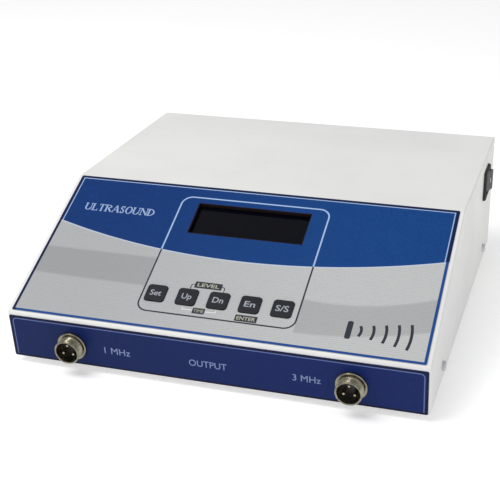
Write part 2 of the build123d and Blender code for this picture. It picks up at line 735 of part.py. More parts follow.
def make_mains_fuse():
    """Glass fuse that lies across the drawer."""
    lie = Plane(origin=INLET.from_local_coords(Vector(0, 0.6 - DRAWER_DROP, FUSE_MIDDLE)), z_dir=(1, 0, 0))
    half = FUSE_LENGTH / 2
    fuse = rod(lie, 0, 0, FUSE_RADIUS - 0.3, -half + FUSE_CAP, half - FUSE_CAP)
    fuse += rod(lie, 0, 0, FUSE_RADIUS - 0.1, -half, -half + FUSE_CAP)
    return fuse + rod(lie, 0, 0, FUSE_RADIUS - 0.1, half - FUSE_CAP, half)


# Power supply and main board


CORE_Y = FRONT_Y + CORE_BACK
CORE_MIDDLE_Z = FLOOR + CORE_SIZE[2] / 2


def make_transformer_core():
    """Stack of steel laminations with two windows."""
    core = Pos(CORE_X, CORE_Y, CORE_MIDDLE_Z) * Box(*CORE_SIZE)
    window = Box(CORE_LEG, CORE_SIZE[1] + 2, CORE_SIZE[2] - 2 * CORE_LEG)
    for side in (-1, 1):
        core -= Pos(CORE_X + side * 1.5 * CORE_LEG, CORE_Y, CORE_MIDDLE_Z) * window
    return core


def make_transformer_winding():
    """Taped winding on its former, round the core's middle leg."""
    leg = 2 * CORE_LEG
    wide = leg + 2 * CORE_LEG - 2 * GAP
    tall = CORE_SIZE[2] - 2 * CORE_LEG - 2 * GAP
    deep = CORE_SIZE[1] + 2 * WINDING_BULGE
    coil = Box(wide, deep, tall)
    coil = fillet(coil.edges().filter_by(Axis.Z), 5.0)
    coil -= Box(leg + 2 * GAP, CORE_SIZE[1] + 2 * GAP, tall + 2)
    return Pos(CORE_X, CORE_Y, CORE_MIDDLE_Z) * coil


def make_transformer_frame():
    """Steel strap over the core, with a foot at each side."""
    strap_depth = CORE_SIZE[1] - 4
    outside = CORE_SIZE[0] / 2 + GAP + SHEET
    strap_top = CORE_SIZE[2] + GAP + SHEET
    frame = Pos(0, 0, strap_top / 2) * Box(2 * outside, strap_depth, strap_top)
    frame -= Pos(0, 0, (strap_top - SHEET) / 2 - 1) * Box(2 * (outside - SHEET), strap_depth + 2,
                                                         strap_top - SHEET + 2)
    for side in (-1, 1):
        foot = Pos(side * (outside + 5), 0, SHEET / 2) * Box(10.4, strap_depth, SHEET)
        frame += foot - Pos(side * TRANSFORMER_FOOT, 0, 0) * Cylinder(SCREW_HOLE, 10)
    return Pos(CORE_X, CORE_Y, FLOOR) * frame


def make_transformer_screws():
    """Two screws through the transformer's feet."""
    top = FLOOR + SHEET
    return group(
        [pan_screw(Plane.XY, CORE_X + side * TRANSFORMER_FOOT, CORE_Y, top, length=2 * SHEET + 2)
         for side in (-1, 1)]
    )


BOARD_Y = FRONT_Y + BOARD_BACK
BOARD_LOW = FLOOR + BOARD_STANDOFF
BOARD_TOP = BOARD_LOW + BOARD_THICK


def board_holes():
    """The four fixing holes of the main board."""
    reach_x = BOARD_SIZE[0] / 2 - BOARD_HOLE_INSET
    reach_y = BOARD_SIZE[1] / 2 - BOARD_HOLE_INSET
    for side in (-1, 1):
        for end in (-1, 1):
            yield BOARD_X + side * reach_x, FRONT_Y + BOARD_BACK + end * reach_y


def make_main_board():
    """Main circuit board."""
    board = block(Plane.XY, BOARD_X, BOARD_Y, BOARD_SIZE, BOARD_LOW, BOARD_TOP, 2.0)
    for x, y in board_holes():
        board -= rod(Plane.XY, x, y, SCREW_HOLE, BOARD_LOW - 1, BOARD_TOP + 1)
    return board


def make_board_standoffs():
    """Four hexagon spacers under the main board."""
    spacers = []
    for x, y in board_holes():
        spacer = extrude(Pos(x, y, FLOOR) * RegularPolygon(3.2, 6), amount=BOARD_STANDOFF)
        spacers.append(spacer - rod(Plane.XY, x, y, SCREW_HOLE, FLOOR - 1, BOARD_LOW + 1))
    return group(spacers)


def make_board_screws():
    """Four screws that hold the main board down."""
    return group([pan_screw(Plane.XY, x, y, BOARD_TOP) for x, y in board_holes()])


def on_board(x, y, size, height, corner=0.0):
    """A block that stands on the main board at a place measured from the board's middle."""
    return block(Plane.XY, BOARD_X + x, BOARD_Y + y, size, BOARD_TOP, BOARD_TOP + height, corner)


def make_driver_chips():
    """Five chips on the main board: the controller, the drivers and the signal generator."""
    sizes = [(0, 30, (36, 14)), (-40, 30, (20, 7)), (-40, 12, (20, 7)), (0, 8, (20, 7)), (30, 8, (20, 7))]
    return group([on_board(x, y, size, 4.0, 0.5) for x, y, size in sizes])


def make_filter_capacitors():
    """Three upright smoothing capacitors."""
    cans = []
    for index in range(3):
        can = rod(Plane.XY, BOARD_X - 50 + 16 * index, BOARD_Y - 14, 6.5, BOARD_TOP, BOARD_TOP + 20)
        rim = can.edges().group_by(Axis.Z)[-1]
        cans.append(fillet(rim, 0.8))
    return group(cans)


def make_output_coils():
    """Two ring coils, one for each output."""
    coils = []
    for side in (-1, 1):
        ring = Torus(7.0, 3.0)
        coils.append(Pos(BOARD_X + 20 + side * 12, BOARD_Y - 36, BOARD_TOP + 3.0) * ring)
    return group(coils)


def make_heat_sink():
    """Finned heat sink at the rear of the board."""
    base = on_board(10, 49, (60, 3), 28)
    for index in range(9):
        base += on_board(10 + (index - 4) * 6.8, 45.0, (1.4, 5.2), 28)
    return base


def make_power_transistors():
    """Two output transistors clipped to the heat sink."""
    return group([on_board(10 + side * 15, 52.7, (10, 4.2), 15, 0.4) for side in (-1, 1)])


def make_buzzer():
    """Round sounder on the board."""
    can = rod(Plane.XY, BOARD_X + 50, BOARD_Y + 25, 6.0, BOARD_TOP, BOARD_TOP + 9)
    return can - rod(Plane.XY, BOARD_X + 50, BOARD_Y + 25, 1.2, BOARD_TOP + 6, BOARD_TOP + 10)


# Leads inside the housing


def lead(points, radius, bend):
    """A round lead along straight runs joined by arcs."""
    path = FilletPolyline(*points, radius=bend)
    start = Plane(origin=path @ 0, z_dir=path % 0)
    return sweep(start * Circle(radius), path=path)


def make_ribbon_cable():
    """Flat ribbon from the display board down to the main board."""
    start = PANEL.from_local_coords(Vector(DISPLAY_X, DISPLAY_S - 12, LCD_BOARD_BACK))
    bend_point = PANEL.from_local_coords(Vector(DISPLAY_X, DISPLAY_S - 12, LCD_BOARD_BACK - 14))
    landing = Vector(DISPLAY_X, BOARD_Y - 36, BOARD_TOP)
    over = Vector(DISPLAY_X, BOARD_Y - 36, BOARD_TOP + 14)
    path = FilletPolyline(start, bend_point, over, landing, radius=5.0)
    section = Plane(origin=path @ 0, x_dir=(1, 0, 0), z_dir=path % 0)
    return sweep(section * Rectangle(20.0, 0.9), path=path)


def make_socket_leads():
    """Two screened leads from the sockets to the main board."""
    leads = []
    for side, end_x in ((-1, BOARD_X - 55), (1, BOARD_X + 55)):
        start = APRON.from_local_coords(Vector(socket_x(side), SOCKET_RISE, -SOCKET_PIN_TAIL))
        out = APRON.from_local_coords(Vector(socket_x(side), SOCKET_RISE, -SOCKET_PIN_TAIL - 16))
        landing = Vector(end_x, BOARD_Y - BOARD_SIZE[1] / 2 + 2.4, BOARD_TOP + 6)
        over = landing - Vector(0, 16, 0)
        leads.append(lead([start, out, over, landing], 1.9, 9.0))
    return group(leads)


def make_mains_leads():
    """Sleeved leads from the inlet to the switch and from the switch to the transformer."""
    inlet_back = INLET.from_local_coords(Vector(0, INLET_CAVITY_RISE, -INLET_BODY_DEPTH - INLET_TAB))
    blades = SWITCH.from_local_coords(Vector(-4, 0, -SWITCH_BODY_DEPTH - 9))
    far_blades = SWITCH.from_local_coords(Vector(4, 0, -SWITCH_BODY_DEPTH - 9))
    coil = Vector(CORE_X + 2 * CORE_LEG + 9, CORE_Y + CORE_SIZE[1] / 2 + 5, CORE_MIDDLE_Z)
    feed = [
        inlet_back,
        inlet_back + Vector(0, -12, 0),
        blades + Vector(-14, 0, 0),
        blades,
    ]
    supply = [
        far_blades,
        far_blades + Vector(-12, 0, 6),
        Vector(CORE_X + 70, coil.Y, CORE_MIDDLE_Z + 6),
        coil,
    ]
    return group([lead(feed, 2.4, 4.0), lead(supply, 2.4, 8.0)])


def all_pieces():
    """Every node of the device, by name."""
    yield "top_cover", make_top_cover()
    yield "base_tray", make_base_tray()
    yield "rear_panel", make_rear_panel()
    yield "cover_screws", make_cover_screws()
    yield "rear_panel_screws", make_rear_panel_screws()
    for name, x, y in foot_places():
        yield name, make_foot(x, y)
    yield "foot_screws", make_foot_screws()
    yield "console_overlay", make_console_overlay()
    yield "apron_label", make_apron_label()
    yield "display_gasket", make_display_gasket()
    yield "display_window", make_display_window()
    yield "lcd_bezel", make_lcd_bezel()
    yield "lcd_glass", make_lcd_glass()
    yield "lcd_backlight", make_lcd_backlight()
    yield "lcd_board", make_lcd_board()
    for index, name in enumerate(KEY_NAMES):
        yield f"key_{name}", make_key(index)
    yield "tact_switches", make_tact_switches()
    yield "keypad_board", make_keypad_board()
    yield "panel_pillars", make_panel_pillars()
    yield "panel_screws", make_panel_screws()
    for name, side in (("socket_1mhz", -1), ("socket_3mhz", 1)):
        x = socket_x(side)
        yield f"{name}_shell", make_socket_shell(x)
        yield f"{name}_insert", make_socket_insert(x)
        yield f"{name}_pins", make_socket_pins(x)
        yield f"{name}_nut", make_socket_nut(x)
    yield "switch_body", make_switch_body()
    yield "switch_rocker", make_switch_rocker()
    yield "switch_terminals", make_switch_terminals()
    yield "inlet_body", make_inlet_body()
    yield "inlet_pins", make_inlet_pins()
    yield "inlet_screws", make_inlet_screws()
    yield "fuse_drawer", make_fuse_drawer()
    yield "mains_fuse", make_mains_fuse()
    yield "transformer_core", make_transformer_core()
    yield "transformer_winding", make_transformer_winding()
    yield "transformer_frame", make_transformer_frame()
    yield "transformer_screws", make_transformer_screws()
    yield "main_board", make_main_board()
    yield "board_standoffs", make_board_standoffs()
    yield "board_screws", make_board_screws()
    yield "driver_chips", make_driver_chips()
    yield "filter_capacitors", make_filter_capacitors()
    yield "output_coils", make_output_coils()
    yield "heat_sink", make_heat_sink()
    yield "power_transistors", make_power_transistors()
    yield "buzzer", make_buzzer()
    yield "ribbon_cable", make_ribbon_cable()
    yield "socket_leads", make_socket_leads()
    yield "mains_leads", make_mains_leads()


os.makedirs("parts", exist_ok=True)
for node, shape in all_pieces():
    export_step(shape, f"parts/{node}.step")
    print(node, round(shape.volume, 1))
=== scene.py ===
"""Looks of a desk-top ultrasound therapy console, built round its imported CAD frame.

The printed artwork, the threaded sockets and every surface finish are made here. All lengths are in metres
in the frame's own axes: +Z up, the panel faces -Y. Sizes of the artwork are given in millimetres times MM.
"""

from __future__ import annotations

import json
import logging
import math
from collections.abc import Iterable, Sequence
from dataclasses import dataclass, field
from enum import Enum

import bmesh
import bpy
from mathutils import Matrix, Vector
from mathutils.bvhtree import BVHTree

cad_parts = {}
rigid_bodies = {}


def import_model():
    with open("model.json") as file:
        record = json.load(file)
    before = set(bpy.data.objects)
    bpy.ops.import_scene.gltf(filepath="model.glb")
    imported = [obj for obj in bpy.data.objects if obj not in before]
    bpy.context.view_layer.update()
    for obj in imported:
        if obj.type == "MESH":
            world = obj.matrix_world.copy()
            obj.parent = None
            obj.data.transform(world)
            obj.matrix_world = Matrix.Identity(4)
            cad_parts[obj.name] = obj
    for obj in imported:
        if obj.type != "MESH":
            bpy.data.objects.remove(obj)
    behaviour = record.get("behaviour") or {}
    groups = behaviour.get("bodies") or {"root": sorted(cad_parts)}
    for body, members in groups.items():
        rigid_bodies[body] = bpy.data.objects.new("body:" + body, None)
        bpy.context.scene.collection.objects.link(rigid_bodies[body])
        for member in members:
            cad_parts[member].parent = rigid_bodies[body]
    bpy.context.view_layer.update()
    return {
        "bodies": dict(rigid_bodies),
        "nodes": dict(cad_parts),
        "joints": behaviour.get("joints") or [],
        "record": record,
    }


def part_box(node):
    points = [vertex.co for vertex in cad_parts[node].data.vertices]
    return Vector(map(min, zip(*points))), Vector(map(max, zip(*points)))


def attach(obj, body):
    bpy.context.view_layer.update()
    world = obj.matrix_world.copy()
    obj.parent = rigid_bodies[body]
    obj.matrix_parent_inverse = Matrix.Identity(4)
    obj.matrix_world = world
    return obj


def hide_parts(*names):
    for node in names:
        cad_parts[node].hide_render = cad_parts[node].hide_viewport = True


LOG = logging.getLogger("console")
MM = 0.001
FILM_THICK = 0.4 * MM
INK_RISE = 0.05 * MM
ROOT = "housing"
KEYS = ("set", "up", "down", "enter", "start_stop")
BLACK = (0.0, 0.0, 0.0)

# Noise lies mostly between the two values of its span; each finer layer keeps this share of strength.
NOISE_SPAN = (0.3, 0.7)
NOISE_LAYER = 0.55

# Sockets of a colour mixing node: share, first colour and second colour, then its result.
MIX_INPUTS = (0, 6, 7)
MIX_RESULT = 2

# Skin of a printed film.
FILM_GLOSS = 0.12
FILM_ROUGH = (0.34, 0.44)
FILM_PATCH = 12.0 * MM
FILM_GRAIN = 0.4 * MM
FILM_GRAIN_DEPTH = 0.008 * MM

# Distance at which vertices are welded, and depth below a key's highest point that still counts as its top.
WELD = 0.0001 * MM
TOP_SKIN = 0.01 * MM

# Smallest corner of a printed line, and the least cosine that limits how far its bends reach.
LEAST_CORNER = 0.05 * MM
MITRE_LIMIT = 0.3

Point = tuple[float, float]
Colour = tuple[float, float, float]
Ramp = tuple[float, float, float, float]
Socket = bpy.types.NodeSocket
Material = bpy.types.Material


def srgb(red: int, green: int, blue: int) -> Colour:
    """Turn display values from 0 to 255 into linear colour.

    Args:
        red: Red value.
        green: Green value.
        blue: Blue value.

    Returns:
        The linear colour.
    """

    def linear(value: float) -> float:
        """Undo the display curve for one channel."""
        share = value / 255
        return share / 12.92 if share <= 0.04045 else ((share + 0.055) / 1.055) ** 2.4

    return linear(red), linear(green), linear(blue)


def shaded(colour: Colour, factor: float) -> Colour:
    """A colour with every channel multiplied by a factor."""
    return tuple(channel * factor for channel in colour)


def around(middle: Point, reach: Point, angle: float) -> Point:
    """Point of an oval.

    Args:
        middle: Middle of the oval.
        reach: Half its width and half its height.
        angle: Angle in degrees, counter-clockwise from the right.

    Returns:
        The point.
    """
    turn = math.radians(angle)
    return middle[0] + reach[0] * math.cos(turn), middle[1] + reach[1] * math.sin(turn)


class Ink(Enum):
    """Printing inks of the console's films."""

    PALE = srgb(164, 188, 226)
    TITLE = srgb(152, 172, 212)
    CAPTION = srgb(130, 146, 188)
    FAINT = srgb(96, 112, 166)
    WHITE = srgb(226, 228, 230)
    NAVY = srgb(22, 22, 40)
    EDGE = srgb(18, 28, 66)
    ROYAL = srgb(28, 72, 140)
    GRAPHITE = srgb(50, 54, 62)
    CREAM = srgb(176, 174, 158)
    LEGEND = srgb(158, 164, 172)


class Side(Enum):
    """The two outputs, by the side of the apron they are on."""

    ONE = ("1mhz", "1 MHz")
    THREE = ("3mhz", "3 MHz")

    @property
    def node(self) -> str:
        """Start of the output's CAD node names."""
        return f"socket_{self.value[0]}"

    @property
    def caption(self) -> str:
        """Printed caption beside the output."""
        return self.value[1]


# Places on the two printed faces


@dataclass(frozen=True)
class Face:
    """A flat printed face with its own axes.

    Attributes:
        origin: Middle of the face's lower edge, on the film's outer surface.
        up: Direction up the face.
        out: Outward normal.
    """

    origin: Vector
    up: Vector
    out: Vector

    @property
    def matrix(self) -> Matrix:
        """Matrix that carries face coordinates (across, up, out) to the frame."""
        across = self.up.cross(self.out)
        turn = Matrix((across, self.up, self.out)).transposed().to_4x4()
        return Matrix.Translation(self.origin) @ turn

    @classmethod
    def console(cls, record: dict) -> "Face":
        """Find the sloping panel from the overlay's box and the keys' direction.

        Args:
            record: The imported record.

        Returns:
            The sloping face.
        """
        joint = next(j for j in record["behaviour"]["joints"] if j["name"] == "press_set")
        out = -Vector(joint["axis"]).normalized()
        low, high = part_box("console_overlay")
        origin = Vector(((low.x + high.x) / 2, low.y, low.z + FILM_THICK * out.z))
        return cls(origin, out.cross(Vector((1, 0, 0))), out)

    @classmethod
    def apron(cls, record: dict) -> "Face":
        """Find the apron from its label's box and the sockets' direction.

        Args:
            record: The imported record.

        Returns:
            The apron's face.
        """
        mount = next(m for m in record["mounts"] if m["name"] == "output_1mhz_thread")
        out = Vector(mount["axis"]).normalized()
        low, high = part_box("apron_label")
        origin = Vector(((low.x + high.x) / 2, high.y + FILM_THICK * out.y, low.z))
        return cls(origin, out.cross(Vector((1, 0, 0))), out)

    def place_of(self, node: str) -> Point:
        """Middle of a CAD node's box, measured across and up this face."""
        low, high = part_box(node)
        local = self.matrix.inverted() @ ((low + high) / 2)
        return local.x, local.y

    def spots(self, node: bpy.types.Object) -> list[Vector]:
        """Vertices of a CAD node in this face's coordinates."""
        turned = self.matrix.inverted()
        return [turned @ vertex.co for vertex in node.data.vertices]


# Shader graphs


class Graph:
    """A material's node graph, with one short call for each common step."""

    def __init__(self, name: str) -> None:
        """Start a material that holds one principled shader.

        Args:
            name: Name of the material.
        """
        self.material = bpy.data.materials.new(name)
        self.material.use_nodes = True
        self.tree = self.material.node_tree
        self.shader = self.tree.nodes["Principled BSDF"]
        self._coords: Socket | None = None

    def set(self, **values: float | Sequence[float]) -> "Graph":
        """Set plain values on the shader; an underscore in a name stands for a space."""
        for name, value in values.items():
            socket = self.shader.inputs[name.replace("_", " ")]
            if isinstance(value, (tuple, list)) and len(value) == 3:
                value = (*value, 1.0)
            socket.default_value = value
        return self

    def node(self, kind: str, *sources: object, output: int | str = 0, **settings: object) -> Socket:
        """Add a node and feed its inputs in order.

        Args:
            kind: Blender's node type.
            sources: A socket, a plain value or None for each input in turn.
            output: Which output to return.
            settings: Node properties.

        Returns:
            The chosen output socket.
        """
        made = self.tree.nodes.new(kind)
        for name, value in settings.items():
            setattr(made, name, value)
        for slot, source in enumerate(sources):
            self.feed(made.inputs[slot], source)
        return made.outputs[output]

    def feed(self, socket: Socket, source: object) -> None:
        """Link a socket, or give it a plain value; None leaves it alone."""
        if isinstance(source, Socket):
            self.tree.links.new(source, socket)
        elif source is not None:
            socket.default_value = source

    def to(self, name: str, source: Socket) -> "Graph":
        """Link a socket to one of the shader's inputs."""
        self.feed(self.shader.inputs[name], source)
        return self

    @property
    def coords(self) -> Socket:
        """Coordinates in the frame's own axes, in metres."""
        if self._coords is None:
            self._coords = self.node("ShaderNodeTexCoord", output="Object")
        return self._coords

    def stretched(self, scale: Sequence[float]) -> Socket:
        """Coordinates stretched by a different factor along each axis."""
        return self.node("ShaderNodeVectorMath", self.coords, tuple(scale), operation="MULTIPLY")

    def noise(self, size: float, detail: float = 2.0, vector: object = None) -> Socket:
        """Soft noise from 0 to 1 whose blobs are about one size across.

        Args:
            size: Size of a blob in metres.
            detail: How many finer layers it has.
            vector: Coordinates other than the frame's own.

        Returns:
            The noise value.
        """
        source = self.coords if vector is None else vector
        return self.node("ShaderNodeTexNoise", source, None, 1 / size, detail, NOISE_LAYER)

    def maths(self, operation: str, *sources: object) -> Socket:
        """One arithmetic step."""
        return self.node("ShaderNodeMath", *sources, operation=operation)

    def ramp(self, value: object, start: float, end: float, low: float = 0.0, high: float = 1.0) -> Socket:
        """Map a value from one range to another, held at both ends."""
        return self.node("ShaderNodeMapRange", value, start, end, low, high, interpolation_type="SMOOTHSTEP")

    def mix(self, share: object, first: object, second: object) -> Socket:
        """Blend two colours by a share from 0 to 1."""
        made = self.tree.nodes.new("ShaderNodeMix")
        made.data_type = "RGBA"
        for slot, source in zip(MIX_INPUTS, (share, first, second)):
            if isinstance(source, tuple):
                source = (*source, 1.0)
            self.feed(made.inputs[slot], source)
        return made.outputs[MIX_RESULT]

    def bump(self, height: Socket, depth: float) -> "Graph":
        """Roughen the surface by a height from 0 to 1 times a depth in metres."""
        made = self.tree.nodes.new("ShaderNodeBump")
        made.inputs["Distance"].default_value = depth
        self.feed(made.inputs["Height"], height)
        return self.to("Normal", made.outputs["Normal"])


# Finishes


@dataclass(frozen=True)
class Look:
    """Base of every material, which is made once and then shared.

    Attributes:
        name: Name of the material.
    """

    name: str

    def graph(self) -> Graph:
        """Build the material's node graph."""
        raise NotImplementedError

    def material(self) -> Material:
        """The finished material."""
        found = bpy.data.materials.get(self.name)
        return found if found else self.graph().material


@dataclass(frozen=True)
class Finish(Look):
    """A surface finish: a colour that varies a little, a roughness and a fine grain.

    Attributes:
        colour: Main colour.
        second: Colour it drifts towards.
        drift: Size of the colour's patches, in metres.
        rough: Lowest and highest roughness.
        grain: Size of the surface grain, in metres.
        depth: Depth of the grain, in metres.
        metal: Metallic share.
        coat: Weight of a clear coat.
        coat_rough: Roughness of the clear coat.
        gloss: Strength of its reflections at right angles.
    """

    colour: Colour
    second: Colour
    drift: float = 0.03
    rough: Point = (0.4, 0.5)
    grain: float = 0.0006
    depth: float = 0.00002
    metal: float = 0.0
    coat: float = 0.0
    coat_rough: float = 0.15
    gloss: float = 0.5

    def graph(self) -> Graph:
        """Build the node graph of this finish."""
        graph = Graph(self.name).set(Metallic=self.metal, Specular_IOR_Level=self.gloss)
        graph.set(Coat_Weight=self.coat, Coat_Roughness=self.coat_rough)
        self.paint(graph)
        graph.to("Roughness", graph.ramp(graph.noise(self.drift / 3), *NOISE_SPAN, *self.rough))
        return graph.bump(self.relief(graph), self.depth)

    def paint(self, graph: Graph) -> None:
        """Colour the surface."""
        share = graph.ramp(graph.noise(self.drift, 4.0), *NOISE_SPAN)
        graph.to("Base Color", graph.mix(share, self.colour, self.second))

    def relief(self, graph: Graph) -> Socket:
        """Height of the fine grain."""
        return graph.noise(self.grain, 3.0)


@dataclass(frozen=True)
class Brushed(Finish):
    """Metal with fine parallel scratches along one axis.

    Attributes:
        along: Stretch of the scratches along each axis; the smallest value is their direction.
    """

    along: tuple[float, float, float] = (1.0, 0.06, 1.0)

    def relief(self, graph: Graph) -> Socket:
        """Height of the scratches."""
        return graph.noise(self.grain, 4.0, graph.stretched(self.along))


@dataclass(frozen=True)
class PowderCoat(Finish):
    """Baked powder paint: an orange-peel skin with finer speckle, a little greyed by handling.

    Attributes:
        soil: Colour of the soiling.
        soil_size: Size of its patches.
        soil_ramp: Noise it starts and is full at, and the shares it then has.
        peel: Size of the orange peel, in grains.
        speckle: Height of the speckle against the peel.
    """

    soil: Colour = srgb(196, 192, 184)
    soil_size: float = 11.0 * MM
    soil_ramp: Ramp = (0.62, 0.85, 0.0, 0.35)
    peel: float = 3.0
    speckle: float = 0.35

    def paint(self, graph: Graph) -> None:
        """Colour the paint, with the faintest cloudy soiling."""
        share = graph.ramp(graph.noise(self.drift, 5.0), 0.35, 0.75)
        clean = graph.mix(share, self.colour, self.second)
        marks = graph.ramp(graph.noise(self.soil_size, 6.0), *self.soil_ramp)
        graph.to("Base Color", graph.mix(marks, clean, self.soil))

    def relief(self, graph: Graph) -> Socket:
        """Orange peel with a finer speckle on it."""
        peel = graph.noise(self.grain * self.peel, 1.0)
        speckle = graph.noise(self.grain, 2.0)
        return graph.maths("MULTIPLY_ADD", speckle, self.speckle, peel)


@dataclass(frozen=True)
class Laminate(Finish):
    """Circuit board: solder resist over a pattern of copper tracks.

    Attributes:
        tracks: Colour of the tracks.
        cells: Cells of the pattern in a metre.
        spacing: Distance between tracks, in cells.
        edge: Where a track's edge starts and ends, in cells.
    """

    tracks: Colour = srgb(30, 120, 66)
    cells: float = 260.0
    spacing: float = 0.13
    edge: Point = (0.06, 0.075)

    def paint(self, graph: Graph) -> None:
        """Draw tracks as bands between the cells of a grid."""
        kind = "ShaderNodeTexVoronoi"
        cells = graph.node(kind, graph.coords, None, self.cells, feature="F1", distance="MANHATTAN")
        share = graph.ramp(graph.maths("PINGPONG", cells, self.spacing), *self.edge)
        graph.to("Base Color", graph.mix(share, self.colour, self.tracks))


@dataclass(frozen=True)
class Laminations(Finish):
    """Edges of a stack of thin steel sheets."""

    pitch: float = 0.5 * MM

    def relief(self, graph: Graph) -> Socket:
        """Height of the sheet edges."""
        across = graph.node("ShaderNodeSeparateXYZ", graph.coords, output="Y")
        return graph.maths("PINGPONG", graph.maths("DIVIDE", across, self.pitch), 1.0)


def metal(name: str, colour: Colour, rough: Point, **more: float) -> Finish:
    """A plated metal that drifts darker where it has dulled."""
    dull = shaded(colour, 0.62)
    return Finish(name, colour, dull, 0.004, rough, metal=1.0, grain=0.0009, depth=0.000006, **more)


def plastic(name: str, colour: Colour, rough: Point, **more: float) -> Finish:
    """A moulded plastic that drifts slightly lighter."""
    light = tuple(min(1.0, c * 1.25 + 0.002) for c in colour)
    return Finish(name, colour, light, rough=rough, drift=0.012, **more)


COVER_WHITE, COVER_GREY = srgb(233, 233, 230), srgb(226, 226, 226)
COAT = PowderCoat("powder_white", COVER_WHITE, COVER_GREY, drift=0.09, rough=(0.4, 0.55), gloss=0.35)
INNER_COAT = PowderCoat("powder_tray", srgb(214, 214, 212), srgb(206, 206, 206), rough=(0.4, 0.55))
RUBBER = plastic("foot_rubber", srgb(34, 34, 35), (0.7, 0.85), depth=0.00004)
KEY_SKIN = plastic("key_skin", srgb(24, 26, 33), (0.4, 0.5), grain=0.00035, depth=0.000012, gloss=0.2)
MOULDING = plastic("black_moulding", srgb(26, 25, 28), (0.3, 0.42), grain=0.0004, depth=0.00001, gloss=0.35)
ROCKER_SKIN = plastic("rocker_gloss", srgb(34, 25, 28), (0.16, 0.24), depth=0.000004, gloss=0.4)
PHENOLIC = plastic("phenolic", srgb(33, 30, 29), (0.3, 0.5), depth=0.00001)
FOAM = plastic("foam_frame", srgb(34, 20, 24), (0.75, 0.9), grain=0.0005, depth=0.00005, gloss=0.15)
SHEATH = plastic("lead_sheath", srgb(62, 62, 66), (0.5, 0.6))
SLEEVE = plastic("capacitor_sleeve", srgb(32, 40, 84), (0.3, 0.4))
TAPE = plastic("winding_tape", srgb(206, 170, 60), (0.3, 0.45), grain=0.002, depth=0.00005)
LIGHT_GUIDE = plastic("light_guide", srgb(206, 210, 206), (0.3, 0.4))
FUSE_GLASS = plastic("fuse_glass", srgb(196, 200, 198), (0.08, 0.14), coat=0.6)
ZINC = metal("bright_zinc", srgb(190, 192, 196), (0.24, 0.38))
PASSIVATED = plastic("passivated_zinc", srgb(196, 198, 200), (0.35, 0.5), metal=0.35)
NICKEL = metal("satin_nickel", srgb(160, 155, 136), (0.2, 0.36))
CONTACT = metal("contact_plate", srgb(186, 176, 152), (0.16, 0.28))
BLACK_STEEL = plastic("black_steel", srgb(22, 22, 24), (0.3, 0.4), coat=0.2)
SINK_LIGHT, SINK_DARK = srgb(176, 178, 182), srgb(160, 162, 166)
ALUMINIUM = Brushed("sink_aluminium", SINK_LIGHT, SINK_DARK, metal=1.0, along=(1.0, 1.0, 0.06))
BOARD = Laminate("solder_resist", srgb(18, 86, 48), srgb(16, 78, 44), rough=(0.25, 0.4), coat=0.3)
CELL_GLASS = plastic("cell_glass", srgb(22, 24, 30), (0.08, 0.16), coat=0.5)
CORE = Laminations("core_steel", srgb(92, 92, 94), srgb(70, 68, 68), metal=0.6, depth=0.0001)


@dataclass(frozen=True)
class FieldArc:
    """The arc that parts the film's blue field from its silver field, in face coordinates."""

    middle: float = 2.0 * MM
    lowest: float = 59.4 * MM
    radius: float = 448.0 * MM

    def height_at(self, across: float) -> float:
        """Height of the arc at a place across the face."""
        return self.lowest + self.radius - math.sqrt(self.radius**2 - (across - self.middle) ** 2)

    def inside(self, graph: Graph, across: object, up: object) -> Socket:
        """Distance in metres into the blue field from a place on the face, negative in the silver field."""
        x = graph.maths("SUBTRACT", across, self.middle)
        y = graph.maths("SUBTRACT", up, self.lowest + self.radius)
        square = graph.maths("MULTIPLY_ADD", x, x, graph.maths("MULTIPLY", y, y))
        return graph.maths("SUBTRACT", self.radius, graph.maths("SQRT", square))


@dataclass(frozen=True)
class FilmFinish(Look):
    """A printed polyester film: its colours follow places on a face.

    Attributes:
        face: The face the film lies on.
    """

    face: Face

    def start(self) -> tuple[Graph, Socket, Socket]:
        """Begin the graph with the film's skin.

        Returns:
            The graph, and the places across and up the face.
        """
        graph = Graph(self.name).set(Specular_IOR_Level=FILM_GLOSS)
        graph.to("Roughness", graph.ramp(graph.noise(FILM_PATCH), *NOISE_SPAN, *FILM_ROUGH))
        graph.bump(graph.noise(FILM_GRAIN, 2.0), FILM_GRAIN_DEPTH)
        kind = "ShaderNodeVectorMath"
        local = graph.node(kind, graph.coords, tuple(self.face.origin), operation="SUBTRACT")
        across = graph.node("ShaderNodeSeparateXYZ", local, output="X")
        up = graph.node(kind, local, tuple(self.face.up), operation="DOT_PRODUCT", output="Value")
        return graph, across, up


@dataclass(frozen=True)
class Band:
    """A darker band of the silver field, between two arcs, on one side of the frame.

    Attributes:
        start: Where it leaves the frame, across the face.
        side: 1 to the right of the frame, -1 to the left.
        upper: Its upper edge.
        lower: Its lower edge.
        soft: Half the width over which an edge fades.
        cut: Width over which it ends at the frame.
    """

    start: float
    side: int
    upper: FieldArc
    lower: FieldArc
    soft: float = 1.3 * MM
    cut: float = 0.2 * MM

    def share(self, graph: Graph, across: object, up: object) -> Socket:
        """How much of the band is at a place on the face, from 0 to 1."""
        below = graph.ramp(self.upper.inside(graph, across, up), -self.soft, self.soft, 1.0, 0.0)
        above = graph.ramp(self.lower.inside(graph, across, up), -self.soft, self.soft)
        past = graph.maths("MULTIPLY_ADD", across, float(self.side), -self.start * self.side)
        beyond = graph.ramp(past, 0.0, self.cut)
        return graph.maths("MULTIPLY", graph.maths("MULTIPLY", below, above), beyond)


